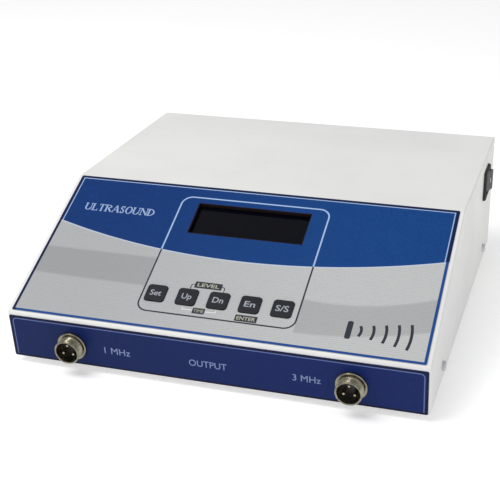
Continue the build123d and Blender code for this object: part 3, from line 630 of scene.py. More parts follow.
@dataclass(frozen=True)
class ConsoleFilm(FilmFinish):
    """Blue field over a silver field with soft bands and fine lines.

    Attributes:
        arc: Where the fields meet.
        left_band: Darker band to the left of the frame.
        right_band: Darker band to the right of the frame.
        drift: Where, across the face, the left colours start and end their change to the right ones; this
            change is painted light, the film painted darker at the left and lighter at the right as if lit
            from the right.
        deep: Darkness of the blue field's patches.
        bright: Colour of its larger blotches.
        shade: Darkness of the bands.
        fringe: Pale glow along the arc.
        fringe_reach: How far the glow reaches.
        blur: Softness of the arc.
        line_pitch: Distance between fine lines.
        line_slope: Their slope.
        line_ramp: Where a line's edge starts and ends, and the ink's shares there.
    """

    arc: FieldArc = field(default_factory=FieldArc)
    left_band: Band = Band(
        -50.3 * MM, -1, FieldArc(-85 * MM, 54.6 * MM, 5000 * MM), FieldArc(-60 * MM, 31.5 * MM, 2600 * MM)
    )
    right_band: Band = Band(
        48.7 * MM, 1, FieldArc(66 * MM, 35.0 * MM, 150 * MM), FieldArc(48 * MM, 10.5 * MM, 250 * MM)
    )
    # Painted light on both fields: the colours at the left are painted shade, those at the right painted
    # light, blended across the face by drift.
    drift: Point = (-110.0 * MM, 100.0 * MM)
    blue_left: Colour = srgb(2, 50, 112)
    blue_right: Colour = srgb(14, 67, 131)
    deep: float = 0.72
    deep_ramp: Ramp = (0.35, 0.75, 0.0, 0.4)
    bright: Colour = srgb(18, 62, 142)
    bright_ramp: Ramp = (0.5, 0.8, 0.0, 0.35)
    mottle: float = 1.2 * MM
    blotch: float = 3.4 * MM
    silver_left: Colour = srgb(174, 176, 177)
    silver_right: Colour = srgb(194, 195, 195)
    grit: Colour = srgb(120, 124, 134)
    grit_ramp: Ramp = (0.4, 0.8, 0.0, 0.14)
    shade: float = 0.78
    fringe: Colour = srgb(196, 210, 232)
    fringe_reach: float = 1.4 * MM
    fringe_share: float = 0.7
    blur: float = 0.1 * MM
    line_ink: Colour = srgb(128, 132, 140)
    line_pitch: float = 1.4 * MM
    line_slope: float = -0.03
    line_ramp: Ramp = (0.1 * MM, 0.32 * MM, 0.26, 0.0)

    def graph(self) -> Graph:
        """Draw both fields and part them at the arc."""
        graph, across, up = self.start()
        mottle = graph.noise(self.mottle, 3.0)
        # Share of painted light across the face, from the painted shade at the left to the painted light at
        # the right.
        drift = graph.ramp(across, *self.drift)
        inside = self.arc.inside(graph, across, up)
        blue = graph.mix(drift, self.blue_left, self.blue_right)
        blue = graph.mix(graph.ramp(mottle, *self.deep_ramp), blue, shaded(self.blue_left, self.deep))
        blue = graph.mix(graph.ramp(graph.noise(self.blotch), *self.bright_ramp), blue, self.bright)

        silver = graph.mix(drift, self.silver_left, self.silver_right)
        bands = [band.share(graph, across, up) for band in (self.left_band, self.right_band)]
        dark = [shaded(colour, self.shade) for colour in (self.silver_left, self.silver_right)]
        silver = graph.mix(graph.maths("ADD", *bands), silver, graph.mix(drift, *dark))
        turned = graph.maths("MULTIPLY_ADD", across, self.line_slope, up)
        lines = graph.ramp(graph.maths("PINGPONG", turned, self.line_pitch / 2), *self.line_ramp)
        silver = graph.mix(lines, silver, self.line_ink)
        silver = graph.mix(graph.ramp(mottle, *self.grit_ramp), silver, self.grit)
        glow = graph.ramp(inside, -self.fringe_reach, -self.blur, 0.0, self.fringe_share)
        silver = graph.mix(glow, silver, self.fringe)
        return graph.to("Base Color", graph.mix(graph.ramp(inside, -self.blur, self.blur), silver, blue))


@dataclass(frozen=True)
class ApronFilm(FilmFinish):
    """Deep blue field, a little lighter to the right."""

    left: Colour = srgb(15, 34, 86)
    right: Colour = srgb(19, 38, 98)
    reach: float = 120.0 * MM
    deep: float = 0.75
    mottle: float = 1.3 * MM
    mottle_ramp: Ramp = (0.35, 0.75, 0.0, 0.5)

    def graph(self) -> Graph:
        """Draw the field with fine print mottle."""
        graph, across, _ = self.start()
        blue = graph.mix(graph.ramp(across, -self.reach, self.reach), self.left, self.right)
        mottle = graph.ramp(graph.noise(self.mottle, 3.0), *self.mottle_ramp)
        return graph.to("Base Color", graph.mix(mottle, blue, shaded(self.left, self.deep)))


@dataclass(frozen=True)
class InkFinish(FilmFinish):
    """One printed ink, or two inks that change over where the film's field changes.

    Attributes:
        upper: Ink in the blue field and everywhere on a plain face.
        lower: Ink in the silver field.
        arc: Where the fields meet.
        left: Ink to the left of left_end, whatever the field.
        left_end: Where that ink ends, across the face.
        left_blur: Width over which it ends.
        blur: Half the width over which the inks change at the arc.
        patch: Size of the darker patches.
        patch_ramp: Noise they start and are full at, and their shares of black.
    """

    upper: Ink = Ink.PALE
    lower: Ink | None = None
    arc: FieldArc = field(default_factory=FieldArc)
    left: Ink | None = None
    left_end: float = -125.8 * MM
    left_blur: float = 0.8 * MM
    blur: float = 0.2 * MM
    patch: float = 1.6 * MM
    patch_ramp: Ramp = (0.55, 0.85, 0.0, 0.072)

    def graph(self) -> Graph:
        """Draw the ink with slight unevenness."""
        graph, across, up = self.start()
        tone: object = self.upper.value
        if self.lower is not None:
            inside = graph.ramp(self.arc.inside(graph, across, up), -self.blur, self.blur)
            tone = graph.mix(inside, self.lower.value, tone)
        if self.left is not None:
            beyond = graph.ramp(across, self.left_end, self.left_end + self.left_blur)
            tone = graph.mix(beyond, self.left.value, tone)
        patches = graph.ramp(graph.noise(self.patch, 3.0), *self.patch_ramp)
        return graph.to("Base Color", graph.mix(patches, tone, BLACK))


@dataclass(frozen=True)
class SmokedWindow(Look):
    """Polished smoked acrylic that lets a little of the display show."""

    name: str = "smoked_acrylic"
    index: float = 1.49
    gloss: float = 0.12
    cover: float = 0.9
    haze: float = 20.0 * MM
    clear: Colour = srgb(4, 5, 13)
    cloudy: Colour = srgb(9, 10, 20)
    rough: Point = (0.1, 0.18)

    def graph(self) -> Graph:
        """Build the window's node graph."""
        graph = Graph(self.name).set(IOR=self.index, Specular_IOR_Level=self.gloss, Alpha=self.cover)
        haze = graph.noise(self.haze, 3.0)
        graph.to("Roughness", graph.ramp(haze, *NOISE_SPAN, *self.rough))
        return graph.to("Base Color", graph.mix(haze, self.clear, self.cloudy))


# Mesh building


def add_piece(name: str, mesh: bpy.types.Mesh, finish: Look, body: str) -> bpy.types.Object:
    """Put a mesh in the scene as a piece of the console.

    Args:
        name: Name of the piece.
        mesh: Its mesh, in frame coordinates.
        finish: Its finish.
        body: CAD body it moves with.

    Returns:
        The new object.
    """
    piece = bpy.data.objects.new(name, mesh)
    bpy.context.scene.collection.objects.link(piece)
    mesh.materials.append(finish.material())
    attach(piece, body)
    LOG.info("%s: %d faces on %s", name, len(mesh.polygons), body)
    return piece


def rounded_loop(width: float, height: float, radius: float, steps: int = 8) -> list[Point]:
    """Outline of a rectangle with rounded corners, about its middle.

    Args:
        width: Full width.
        height: Full height.
        radius: Corner radius.
        steps: Points on each corner, less one.

    Returns:
        The outline, counter-clockwise.
    """
    loop = []
    corners = ((1, 1, 0), (-1, 1, 90), (-1, -1, 180), (1, -1, 270))
    for side, end, start in corners:
        middle = (side * (width / 2 - radius), end * (height / 2 - radius))
        loop += [around(middle, (radius, radius), start + 90 * step / steps) for step in range(steps + 1)]
    return loop


class Artwork:
    """Thin printed shapes that gather into one mesh on a face."""

    def __init__(self, face: Face, lift: float = 0.0, thick: float = INK_RISE) -> None:
        """Start an empty piece of artwork.

        Args:
            face: Face to print on.
            lift: Height of the print's underside above the film.
            thick: Thickness of the print.
        """
        self.face = face
        self.lift = lift
        self.thick = thick
        self.mesh = bmesh.new()

    def _strip(self, first: Sequence[Point], second: Sequence[Point], closed: bool) -> None:
        """Add a slab between two lines of the same number of points."""
        rings = []
        for height in (self.lift, self.lift + self.thick):
            rings.append([[self.mesh.verts.new((*p, height)) for p in line] for line in (first, second)])
        (low_a, low_b), (high_a, high_b) = rings
        count = len(first)
        last = count if closed else count - 1
        for i in range(last):
            j = (i + 1) % count
            self.mesh.faces.new((high_a[i], high_a[j], high_b[j], high_b[i]))
            self.mesh.faces.new((low_a[j], low_a[i], low_b[i], low_b[j]))
            self.mesh.faces.new((low_a[i], low_a[j], high_a[j], high_a[i]))
            self.mesh.faces.new((low_b[j], low_b[i], high_b[i], high_b[j]))
        if not closed:
            for i, flip in ((0, False), (count - 1, True)):
                end = [low_a[i], high_a[i], high_b[i], low_b[i]]
                self.mesh.faces.new(reversed(end) if flip else end)

    def ring(self, middle: Point, width: float, height: float, radius: float, weight: float) -> "Artwork":
        """Print a rounded rectangular line.

        Args:
            middle: Middle of the rectangle.
            width: Width over the line's middle.
            height: Height over the line's middle.
            radius: Corner radius of the line's middle.
            weight: Width of the line.

        Returns:
            This artwork.
        """
        half = weight / 2
        outer = rounded_loop(width + weight, height + weight, radius + half)
        inner = rounded_loop(width - weight, height - weight, max(radius - half, LEAST_CORNER))
        place = [[(x + middle[0], y + middle[1]) for x, y in loop] for loop in (inner, outer)]
        self._strip(place[0], place[1], True)
        return self

    def plate(self, middle: Point, width: float, height: float, radius: float) -> "Artwork":
        """Print a filled rounded rectangle."""
        loop = [(x + middle[0], y + middle[1]) for x, y in rounded_loop(width, height, radius, 5)]
        rings = []
        for level in (self.lift, self.lift + self.thick):
            rings.append([self.mesh.verts.new((*p, level)) for p in loop])
        self.mesh.faces.new(rings[1])
        self.mesh.faces.new(reversed(rings[0]))
        for i in range(len(loop)):
            j = (i + 1) % len(loop)
            self.mesh.faces.new((rings[0][i], rings[0][j], rings[1][j], rings[1][i]))
        return self

    def line(self, points: Sequence[Point], weight: float, closed: bool = False) -> "Artwork":
        """Print a line of even weight along points.

        Args:
            points: The line's middle.
            weight: Its width.
            closed: Whether it joins up with its start.

        Returns:
            This artwork.
        """
        left, right = [], []
        count = len(points)
        for i, (x, y) in enumerate(points):
            before = points[i - 1] if i or closed else points[i]
            after = points[(i + 1) % count] if i < count - 1 or closed else points[i]
            run_in = Vector((x - before[0], y - before[1]))
            run_out = Vector((after[0] - x, after[1] - y))
            run_in = run_in.normalized() if run_in.length else run_out.normalized()
            run_out = run_out.normalized() if run_out.length else run_in
            middle = (run_in + run_out).normalized()
            reach = weight / 2 / max(MITRE_LIMIT, middle.dot(run_out))
            left.append((x - middle.y * reach, y + middle.x * reach))
            right.append((x + middle.y * reach, y - middle.x * reach))
        self._strip(right, left, closed)
        return self

    def bow(self, middle: Point, reach: Point, weights: Point, start: float, end: float) -> "Artwork":
        """Print part of an oval line, heavier at its sides than at its top and bottom.

        Args:
            middle: Middle of the oval.
            reach: Half its width and half its height, outside.
            weights: Line weight at its sides and at its top.
            start: First angle in degrees.
            end: Last angle in degrees.

        Returns:
            This artwork.
        """
        closed = abs(end - start) >= 360
        steps = max(6, int(abs(end - start) / 9))
        angles = [start + (end - start) * i / steps for i in range(steps if closed else steps + 1)]
        slim = (reach[0] - weights[0], reach[1] - weights[1])
        inner, outer = ([around(middle, size, angle) for angle in angles] for size in (slim, reach))
        self._strip(inner, outer, closed)
        return self

    def words(self, text: str, middle: Point, height: float, width: float, bold: float = 0.0) -> "Artwork":
        """Print plain letters.

        Args:
            text: What to print.
            middle: Middle of the words.
            height: Height of the words' box.
            width: Width of the words' box.
            bold: How far the letters' edges move out, as a share of their size.

        Returns:
            This artwork.
        """
        curve = bpy.data.curves.new("letters", "FONT")
        curve.body = text
        curve.size = 1.0
        curve.offset = bold
        curve.resolution_u = 4
        curve.extrude = 0.5
        holder = bpy.data.objects.new("letters", curve)
        letters = bpy.data.meshes.new_from_object(holder)
        spots = [v.co for v in letters.vertices]
        low = Vector([min(p[i] for p in spots) for i in range(3)])
        high = Vector([max(p[i] for p in spots) for i in range(3)])
        scale = (width / (high.x - low.x), height / (high.y - low.y), self.thick)
        for vertex in letters.vertices:
            offset = vertex.co - (low + high) / 2
            vertex.co = (
                middle[0] + offset.x * scale[0],
                middle[1] + offset.y * scale[1],
                self.lift + self.thick / 2 + offset.z * scale[2],
            )
        self.mesh.from_mesh(letters)
        bpy.data.objects.remove(holder)
        bpy.data.curves.remove(curve)
        bpy.data.meshes.remove(letters)
        return self

    def join(self, other: "Artwork") -> "Artwork":
        """Melt another artwork, and every overlap in either, into one clean solid.

        Args:
            other: The other artwork, which is used up.

        Returns:
            This artwork.
        """
        holders = []
        for art in (self, other):
            bmesh.ops.scale(art.mesh, vec=(1 / MM,) * 3, verts=art.mesh.verts)
            bmesh.ops.recalc_face_normals(art.mesh, faces=art.mesh.faces)
            mesh = bpy.data.meshes.new("strokes")
            art.mesh.to_mesh(mesh)
            art.mesh.free()
            holders.append(bpy.data.objects.new("strokes", mesh))
            bpy.context.scene.collection.objects.link(holders[-1])
        melt = holders[0].modifiers.new("melt", "BOOLEAN")
        melt.operation = "UNION"
        melt.solver = "EXACT"
        melt.use_self = True
        melt.object = holders[1]
        graph = bpy.context.evaluated_depsgraph_get()
        whole = bpy.data.meshes.new_from_object(holders[0].evaluated_get(graph))
        self.mesh = bmesh.new()
        self.mesh.from_mesh(whole)
        bmesh.ops.scale(self.mesh, vec=(MM,) * 3, verts=self.mesh.verts)
        for holder in holders:
            bpy.data.meshes.remove(holder.data)
        bpy.data.meshes.remove(whole)
        return self

    def done(self, name: str, ink: Look, body: str = ROOT) -> bpy.types.Object:
        """Set the artwork on its face and add it to the scene.

        Args:
            name: Name of the piece.
            ink: Its ink.
            body: CAD body it moves with.

        Returns:
            The new object.
        """
        bmesh.ops.remove_doubles(self.mesh, verts=self.mesh.verts, dist=WELD)
        bmesh.ops.transform(self.mesh, matrix=self.face.matrix, verts=self.mesh.verts)
        bmesh.ops.recalc_face_normals(self.mesh, faces=self.mesh.faces)
        made = bpy.data.meshes.new(name)
        self.mesh.to_mesh(made)
        self.mesh.free()
        return add_piece(name, made, ink, body)


# Turned parts


@dataclass(frozen=True)
class Thread:
    """A screw thread on a stretch of a turned part.

    Attributes:
        start: Height at which it begins.
        end: Height at which it ends.
        pitch: Height of one turn.
        depth: Depth of the groove.
        runout: Turns over which the groove fades at each end.
        flank: Steepness of its sides.
        levels: Rings of the mesh in one turn.
    """

    start: float
    end: float
    pitch: float = 0.8 * MM
    depth: float = 0.42 * MM
    runout: float = 0.8
    flank: float = 1.5
    levels: int = 6

    def groove(self, turn: float, height: float) -> float:
        """Depth of the groove at a place on the thread.

        Args:
            turn: Angle round the part, from 0 to 1.
            height: Height along the part.

        Returns:
            The depth below the crest.
        """
        edge = min(height - self.start, self.end - height) / (self.runout * self.pitch)
        phase = (height / self.pitch - turn) % 1.0
        valley = min(1.0, self.flank * abs(2 * phase - 1))
        return self.depth * max(0.0, min(1.0, edge)) * valley

    def heights(self, low: float, high: float) -> list[float]:
        """Heights between two levels, close enough to show the groove."""
        count = max(1, round((high - low) / self.pitch * self.levels))
        return [low + (high - low) * i / count for i in range(1, count)]


@dataclass(frozen=True)
class Turned:
    """A solid made by turning an outline about an axis that stands on a face.

    Attributes:
        outline: Radius and height of each corner; the first and last lie on the axis when their radius is 0.
        thread: Thread on its outside, if it has one.
        steps: Divisions round the axis.
    """

    outline: Sequence[Point]
    thread: Thread | None = None
    steps: int = 96

    def rings(self) -> Iterable[tuple[float, float, bool]]:
        """Radius and height of each ring, and whether the thread may cut it."""
        for (radius, height), after in zip(self.outline, (*self.outline[1:], self.outline[0])):
            threaded = self.thread is not None and radius == after[0] and after[1] > height
            yield radius, height, False
            if threaded and height <= self.thread.start and after[1] >= self.thread.end:
                for level in self.thread.heights(height, after[1]):
                    yield radius, level, True

    def build(self, into: bmesh.types.BMesh, matrix: Matrix) -> None:
        """Add the solid to a mesh.

        Args:
            into: Mesh to add to.
            matrix: Where the axis stands.
        """
        solid = self.outline[0][0] == 0
        rings = []
        for radius, height, cut in self.rings():
            if solid and radius == 0:
                rings.append([into.verts.new(matrix @ Vector((0, 0, height)))])
                continue
            ring = []
            for step in range(self.steps):
                turn = step / self.steps
                reach = radius - (self.thread.groove(turn, height) if cut and self.thread else 0.0)
                spot = around((0.0, 0.0), (reach, reach), 360 * turn)
                ring.append(into.verts.new(matrix @ Vector((*spot, height))))
            rings.append(ring)
        pairs = list(zip(rings, rings[1:]))
        if not solid:
            pairs.append((rings[-1], rings[0]))
        for low, high in pairs:
            for i in range(self.steps):
                j = (i + 1) % self.steps
                if len(low) == 1:
                    into.faces.new((low[0], high[i], high[j]))
                elif len(high) == 1:
                    into.faces.new((low[i], high[0], low[j]))
                else:
                    into.faces.new((low[i], high[i], high[j], low[j]))


def finish_mesh(name: str, source: bmesh.types.BMesh, crease: float = 35.0) -> bpy.types.Mesh:
    """Turn a building mesh into a finished one with smooth faces and crisp edges.

    Args:
        name: Name of the mesh.
        source: The building mesh, which is freed.
        crease: Angle in degrees above which an edge stays crisp.

    Returns:
        The finished mesh.
    """
    bmesh.ops.recalc_face_normals(source, faces=source.faces)
    mesh = bpy.data.meshes.new(name)
    source.to_mesh(mesh)
    source.free()
    mesh.shade_smooth()
    mesh.set_sharp_from_angle(angle=math.radians(crease))
    return mesh


# Sub-assemblies


@dataclass
class Assembly:
    """A group of the console's pieces.

    Attributes:
        frame: The loaded frame.
    """

    frame: dict

    def coat(self, finish: Look, slot: str, *nodes: str) -> None:
        """Give CAD nodes a finish.

        Args:
            finish: The finish.
            slot: Record slot they share; not used.
            nodes: Names of the nodes.
        """
        for name in nodes:
            node = self.frame["nodes"][name]
            node.data.materials.clear()
            node.data.materials.append(finish.material())
            LOG.info("%s: %s", name, finish.name)

    def dress(self) -> None:
        """Dress or build every piece of the group."""
        raise NotImplementedError


@dataclass
class Housing(Assembly):
    """Folded sheet-metal cover and tray, with feet and fixings."""

    def dress(self) -> None:
        """Paint the sheet metal and plate the fixings."""
        self.coat(COAT, "powder_coat", "top_cover", "rear_panel")
        self.coat(INNER_COAT, "powder_coat", "base_tray")
        self.coat(PASSIVATED, "zinc_steel", "cover_screws", "rear_panel_screws", "foot_screws")
        feet = [f"foot_{end}_{side}" for end in ("front", "rear") for side in ("left", "right")]
        self.coat(RUBBER, "foot_rubber", *feet)


LETTER_WIDTHS = {
    "A": 0.74, "D": 0.7, "L": 0.56, "N": 0.72, "O": 0.7, "R": 0.66, "S": 0.46, "T": 0.64, "U": 0.7
}


@dataclass
class SerifTitle:
    """Capital letters with serifs, drawn with strokes in a box one unit high.

    Attributes:
        face: Face to print on.
        left: Left end of the title.
        base: Bottom of the letters.
        height: Height of the letters.
        gap: Room between letters.
        fat: Weight of a main stroke, as a share of the height.
        thin: Weight of a fine stroke, as a share of the height.
    """

    face: Face
    left: float
    base: float
    height: float
    gap: float
    fat: float = 0.17
    thin: float = 0.08

    def __post_init__(self) -> None:
        """Start at the left end."""
        self._x = self.left
        self._strokes = Artwork(self.face)
        self._bowls = Artwork(self.face)

    def at(self, x: float, y: float) -> Point:
        """Place of a point of the current letter."""
        return self._x + x * self.height, self.base + y * self.height

    def stroke(self, weight: float, *points: Point) -> None:
        """Draw one stroke through points of the letter's box."""
        self._strokes.line([self.at(*p) for p in points], weight * self.height)

    def serif(self, x: float, y: float, reach: float = 0.15) -> None:
        """Draw one serif at the end of a stroke."""
        self.stroke(self.thin, (x - reach, y), (x + reach, y))

    def stem(self, x: float, weight: float, low: bool = True, high: bool = True) -> None:
        """Draw an upright stroke with its serifs."""
        half = self.thin / 2
        self.stroke(weight, (x, half), (x, 1 - half))
        if low:
            self.serif(x, half)
        if high:
            self.serif(x, 1 - half)

    def bowl(self, x: float, y: float, reach: Point, start: float, end: float) -> None:
        """Draw part of an oval that is heavy at its sides."""
        size = (reach[0] * self.height, reach[1] * self.height)
        weights = (self.fat * self.height, self.thin * self.height)
        self._bowls.bow(self.at(x, y), size, weights, start, end)

    def snake(self, wide: float, weight: float) -> None:
        """Draw the double curve of an S, with a tick at each end."""
        small, large = (0.5 - weight) / 2, (0.56 - weight) / 2
        reach = (wide - weight) / 2
        high = (wide / 2, 1 - weight / 2 - small)
        low = (wide / 2, weight / 2 + large)
        points = [around(high, (reach, small), angle) for angle in range(50, 280, 10)]
        points += [around(low, (reach, large), angle) for angle in range(80, -140, -10)]
        self.stroke(weight, *points)
        self.stroke(self.thin, (wide - self.thin, 0.99), (wide - self.thin, 0.72))
        self.stroke(self.thin, (self.thin, 0.01), (self.thin, 0.3))

    def letter(self, name: str) -> None:
        """Draw one letter and move on to the next place.

        Args:
            name: One of the capitals A, D, L, N, O, R, S, T or U.
        """
        half, wide = self.thin / 2, LETTER_WIDTHS[name]
        inset = self.fat / 2
        if name == "U":
            self.serif(inset, 1 - half)
            self.serif(wide - half, 1 - half)
            self.stroke(self.fat, (inset, 1), (inset, 0.3))
            self.stroke(self.thin, (wide - half, 1), (wide - half, 0.3))
            self.bowl(wide / 2, 0.32, (wide / 2, 0.32), 180, 360)
        elif name == "L":
            self.stem(inset, self.fat)
            self.stroke(self.thin, (inset, half), (wide, half), (wide, 0.24))
        elif name == "T":
            self.stem(wide / 2, self.fat, high=False)
            self.stroke(self.thin, (half, 0.78), (half, 1 - half), (wide, 1 - half), (wide, 0.78))
        elif name in ("R", "D"):
            self.stem(inset, self.fat)
            low = 0.5 if name == "R" else 0.0
            self.bowl(inset, (1 + low) / 2, (wide - inset, (1 - low) / 2), -90, 90)
            if name == "R":
                self.stroke(self.fat, (wide * 0.45, 0.5), (wide, half))
        elif name == "A":
            self.stroke(self.thin, (0.06, half), (wide / 2, 1))
            self.stroke(self.fat, (wide / 2, 1), (wide - 0.04, half))
            self.stroke(self.thin, (0.16, 0.34), (wide - 0.16, 0.34))
            self.serif(0.06, half, 0.1)
            self.serif(wide - 0.04, half, 0.14)
        elif name == "S":
            self.snake(wide, 0.13)
        elif name == "O":
            self.bowl(wide / 2 + 0.02, 0.5, (wide / 2 + 0.04, 0.52), 0, 360)
        elif name == "N":
            self.stem(half + 0.04, self.thin)
            self.stem(wide, self.thin, low=False)
            self.stroke(self.fat, (half + 0.04, 0.95), (wide, 0.05))
        self._x += wide * self.height + self.gap

    def word(self, text: str) -> Artwork:
        """Draw a word as one clean solid."""
        for name in text:
            self.letter(name)
        return self._strokes.join(self._bowls)


@dataclass
class ConsolePrint(Assembly):
    """Printed film of the sloping panel with its frame lines, captions and emblem."""

    face: Face
    edge: float = 1.7 * MM
    edge_gap: float = 0.15 * MM
    edge_corner: float = 0.4 * MM
    line: float = 0.6 * MM
    line_top: float = 118.1 * MM
    line_side: float = 125.7 * MM
    frame_line: float = 1.0 * MM
    frame_low: float = 12.6 * MM
    frame_high: float = 110.0 * MM
    frame_width: float = 99.0 * MM
    frame_corner: float = 6.8 * MM
    frame_shift: float = -0.3 * MM
    caption_line: float = 0.55 * MM
    level_box: Point = (17.3 * MM, 5.0 * MM)
    time_box: Point = (7.8 * MM, 4.3 * MM)
    enter_box: Point = (13.7 * MM, 4.7 * MM)
    level_shift: Point = (0.5 * MM, 10.8 * MM)
    time_shift: Point = (0.3 * MM, -9.2 * MM)
    enter_shift: Point = (0.3 * MM, -10.4 * MM)
    level_word: Point = (2.7 * MM, 14.0 * MM)
    time_word: Point = (2.4 * MM, 6.4 * MM)
    enter_word: Point = (2.6 * MM, 11.6 * MM)
    word_weight: float = 0.02
    box_corner: float = 0.5 * MM
    title_place: Point = (-114.8 * MM, 89.2 * MM)
    title_height: float = 6.3 * MM
    title_gap: float = 0.85 * MM
    emblem_middle: Point = (80.5 * MM, 17.6 * MM)
    emblem_head: Point = (3.4 * MM, 13.0 * MM)
    emblem_corner: float = 1.2 * MM
    waves: int = 5
    first_wave: Point = (8.0 * MM, 4.2 * MM)
    next_wave: Point = (7.2 * MM, 1.3 * MM)
    wave_line: float = 1.7 * MM

    def dress(self) -> None:
        """Colour the film and print everything on it."""
        low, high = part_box("console_overlay")
        self.width = high.x - low.x
        self.length = (high.z - low.z - FILM_THICK * self.face.out.z) / self.face.up.z
        self.arc = FieldArc()
        self.coat(ConsoleFilm("console_film", self.face, arc=self.arc), "printed_film", "console_overlay")
        self.print_edges()
        self.print_frame()
        self.print_title()
        self.print_captions()
        self.print_emblem()

    def ink(self, name: str, upper: Ink, lower: Ink | None = None, left: Ink | None = None) -> InkFinish:
        """One of the panel's inks."""
        return InkFinish(name, self.face, upper, lower, self.arc, left)

    def print_edges(self) -> None:
        """Print the border and the fine pale line inside it."""
        border = Artwork(self.face)
        inset = self.edge / 2 + self.edge_gap
        middle = (0.0, self.length / 2)
        size = (self.width - 2 * inset, self.length - 2 * inset)
        border.ring(middle, *size, self.edge_corner, self.edge)
        border.done("console_border", self.ink("border_ink", Ink.EDGE, Ink.ROYAL, Ink.EDGE))
        side, top = self.line_side, self.line_top
        foot = {end: self.arc.height_at(end) for end in (-side, side)}
        points = [(-side, foot[-side]), (-side, top), (side, top), (side, foot[side])]
        fine = Artwork(self.face).line(points, self.line)
        fine.done("console_fine_line", self.ink("fine_line_ink", Ink.PALE))

    def print_frame(self) -> None:
        """Print the rounded frame round the display and the keys."""
        display = self.face.place_of("display_window")[0]
        middle = (display + self.frame_shift, (self.frame_low + self.frame_high) / 2)
        height = self.frame_high - self.frame_low
        frame = Artwork(self.face)
        frame.ring(middle, self.frame_width, height, self.frame_corner, self.frame_line)
        frame.done("console_frame_line", self.ink("frame_line_ink", Ink.PALE, Ink.GRAPHITE))

    def print_title(self) -> None:
        """Print what the apparatus is, in serif capitals."""
        title = SerifTitle(self.face, *self.title_place, self.title_height, self.title_gap)
        title.word("ULTRASOUND").done("console_title", self.ink("title_ink", Ink.TITLE))

    def print_captions(self) -> None:
        """Print the boxed captions above and below the keys, with their brackets."""
        up, down = (self.face.place_of(f"key_{name}") for name in ("up", "down"))
        enter = self.face.place_of("key_enter")
        middle = (up[0] + down[0]) / 2
        level = (middle + self.level_shift[0], up[1] + self.level_shift[1])
        time = (middle + self.time_shift[0], up[1] + self.time_shift[1])
        below = (enter[0] + self.enter_shift[0], enter[1] + self.enter_shift[1])
        boxes, marks = Artwork(self.face), Artwork(self.face)
        for place, size in ((level, self.level_box), (time, self.time_box), (below, self.enter_box)):
            boxes.plate(place, *size, self.box_corner)
        for side in (-1, 1):
            self.print_bracket(boxes, side, level, self.level_box, (-0.2, 1.2, 2.0), (0.8, 3.6))
            self.print_bracket(marks, side, time, self.time_box, (0.1, 6.6, 6.6), (0.0, -1.7))
        boxes.done("caption_boxes", self.ink("caption_ink", Ink.GRAPHITE))
        marks.done("caption_brackets", self.ink("bracket_ink", Ink.WHITE))
        words = Artwork(self.face, INK_RISE)
        words.words("LEVEL", level, *self.level_word, self.word_weight)
        words.words("TIME", time, *self.time_word)
        words.words("ENTER", below, *self.enter_word, self.word_weight)
        words.done("caption_words", self.ink("caption_word_ink", Ink.CREAM))

    def print_bracket(
        self, art: Artwork, side: int, middle: Point, box: Point, reaches: Sequence[float], drops: Point
    ) -> None:
        """Print the bracket on one side of a caption's box.

        Args:
            art: Artwork to print in.
            side: 1 to the right of the box, -1 to the left.
            middle: Middle of the box.
            box: Its size.
            reaches: Millimetres beyond the box's end at which the line starts, bends and drops.
            drops: Millimetres by which it falls at the bend and at its end.
        """
        start, bend, end = (middle[0] + side * (box[0] / 2 + reach * MM) for reach in reaches)
        corner, foot = (middle[1] - drop * MM for drop in drops)
        points = [(start, middle[1]), (bend, middle[1]), (end, corner), (end, foot)]
        if bend == end:
            points.pop(1)
        art.line(points, self.caption_line)

    def print_emblem(self) -> None:
        """Print a plain emblem: a sound head and the waves that leave it."""
        art = Artwork(self.face)
        art.plate(self.emblem_middle, *self.emblem_head, self.emblem_corner)
        for wave in range(self.waves):
            reach, half = (a + wave * b for a, b in zip(self.first_wave, self.next_wave))
            spread = math.degrees(math.asin(half / reach))
            art.bow(self.emblem_middle, (reach, reach), (self.wave_line,) * 2, -spread, spread)
        art.done("console_emblem", self.ink("emblem_ink", Ink.GRAPHITE))


@dataclass
class ApronPrint(Assembly):
    """Printed film of the apron with the outputs' captions."""

    face: Face
    caption_height: float = 4.4 * MM
    caption_middle: float = 13.1 * MM
    caption_gap: float = 28.2 * MM
    caption_shift: float = 1.7 * MM
    caption_width: float = 16.8 * MM
    heading_shift: float = -0.8 * MM
    heading_width: float = 23.6 * MM
    edge: float = 1.0 * MM
    edge_inset: float = 0.75 * MM
    edge_corner: float = 0.6 * MM
    line: float = 0.6 * MM
    line_low: float = 1.4 * MM
    line_inset: Point = (2.3 * MM, 1.9 * MM)
    line_corner: float = 2.5 * MM

    def dress(self) -> None:
        """Colour the film and print everything on it."""
        low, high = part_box("apron_label")
        width = high.x - low.x
        height = (high.z - low.z) / self.face.up.z
        self.coat(ApronFilm("apron_film", self.face), "printed_film", "apron_label")
        border = Artwork(self.face)
        size = (width - 2 * self.edge_inset, height - 2 * self.edge_inset)
        border.ring((0.0, height / 2), *size, self.edge_corner, self.edge)
        border.done("apron_border", InkFinish("apron_edge_ink", self.face, Ink.NAVY))
        corner = self.line_corner
        side, top = width / 2 - self.line_inset[0], height - self.line_inset[1]
        points = [(-side, self.line_low)]
        for middle, start in ((-side + corner, 180), (side - corner, 90)):
            points += [around((middle, top - corner), (corner, corner), start - 15 * i) for i in range(7)]
        points.append((side, self.line_low))
        line = Artwork(self.face).line(points, self.line)
        line.done("apron_fine_line", InkFinish("apron_line_ink", self.face, Ink.FAINT))
        words = Artwork(self.face)
        heading = (self.heading_shift, self.caption_middle)
        words.words("OUTPUT", heading, self.caption_height, self.heading_width)
        for output, sign in ((Side.ONE, 1), (Side.THREE, -1)):
            socket = self.face.place_of(f"{output.node}_shell")[0]
            middle = (socket + sign * self.caption_gap + self.caption_shift, self.caption_middle)
            words.words(output.caption, middle, self.caption_height, self.caption_width)
        words.done("apron_captions", InkFinish("apron_word_ink", self.face, Ink.CAPTION))


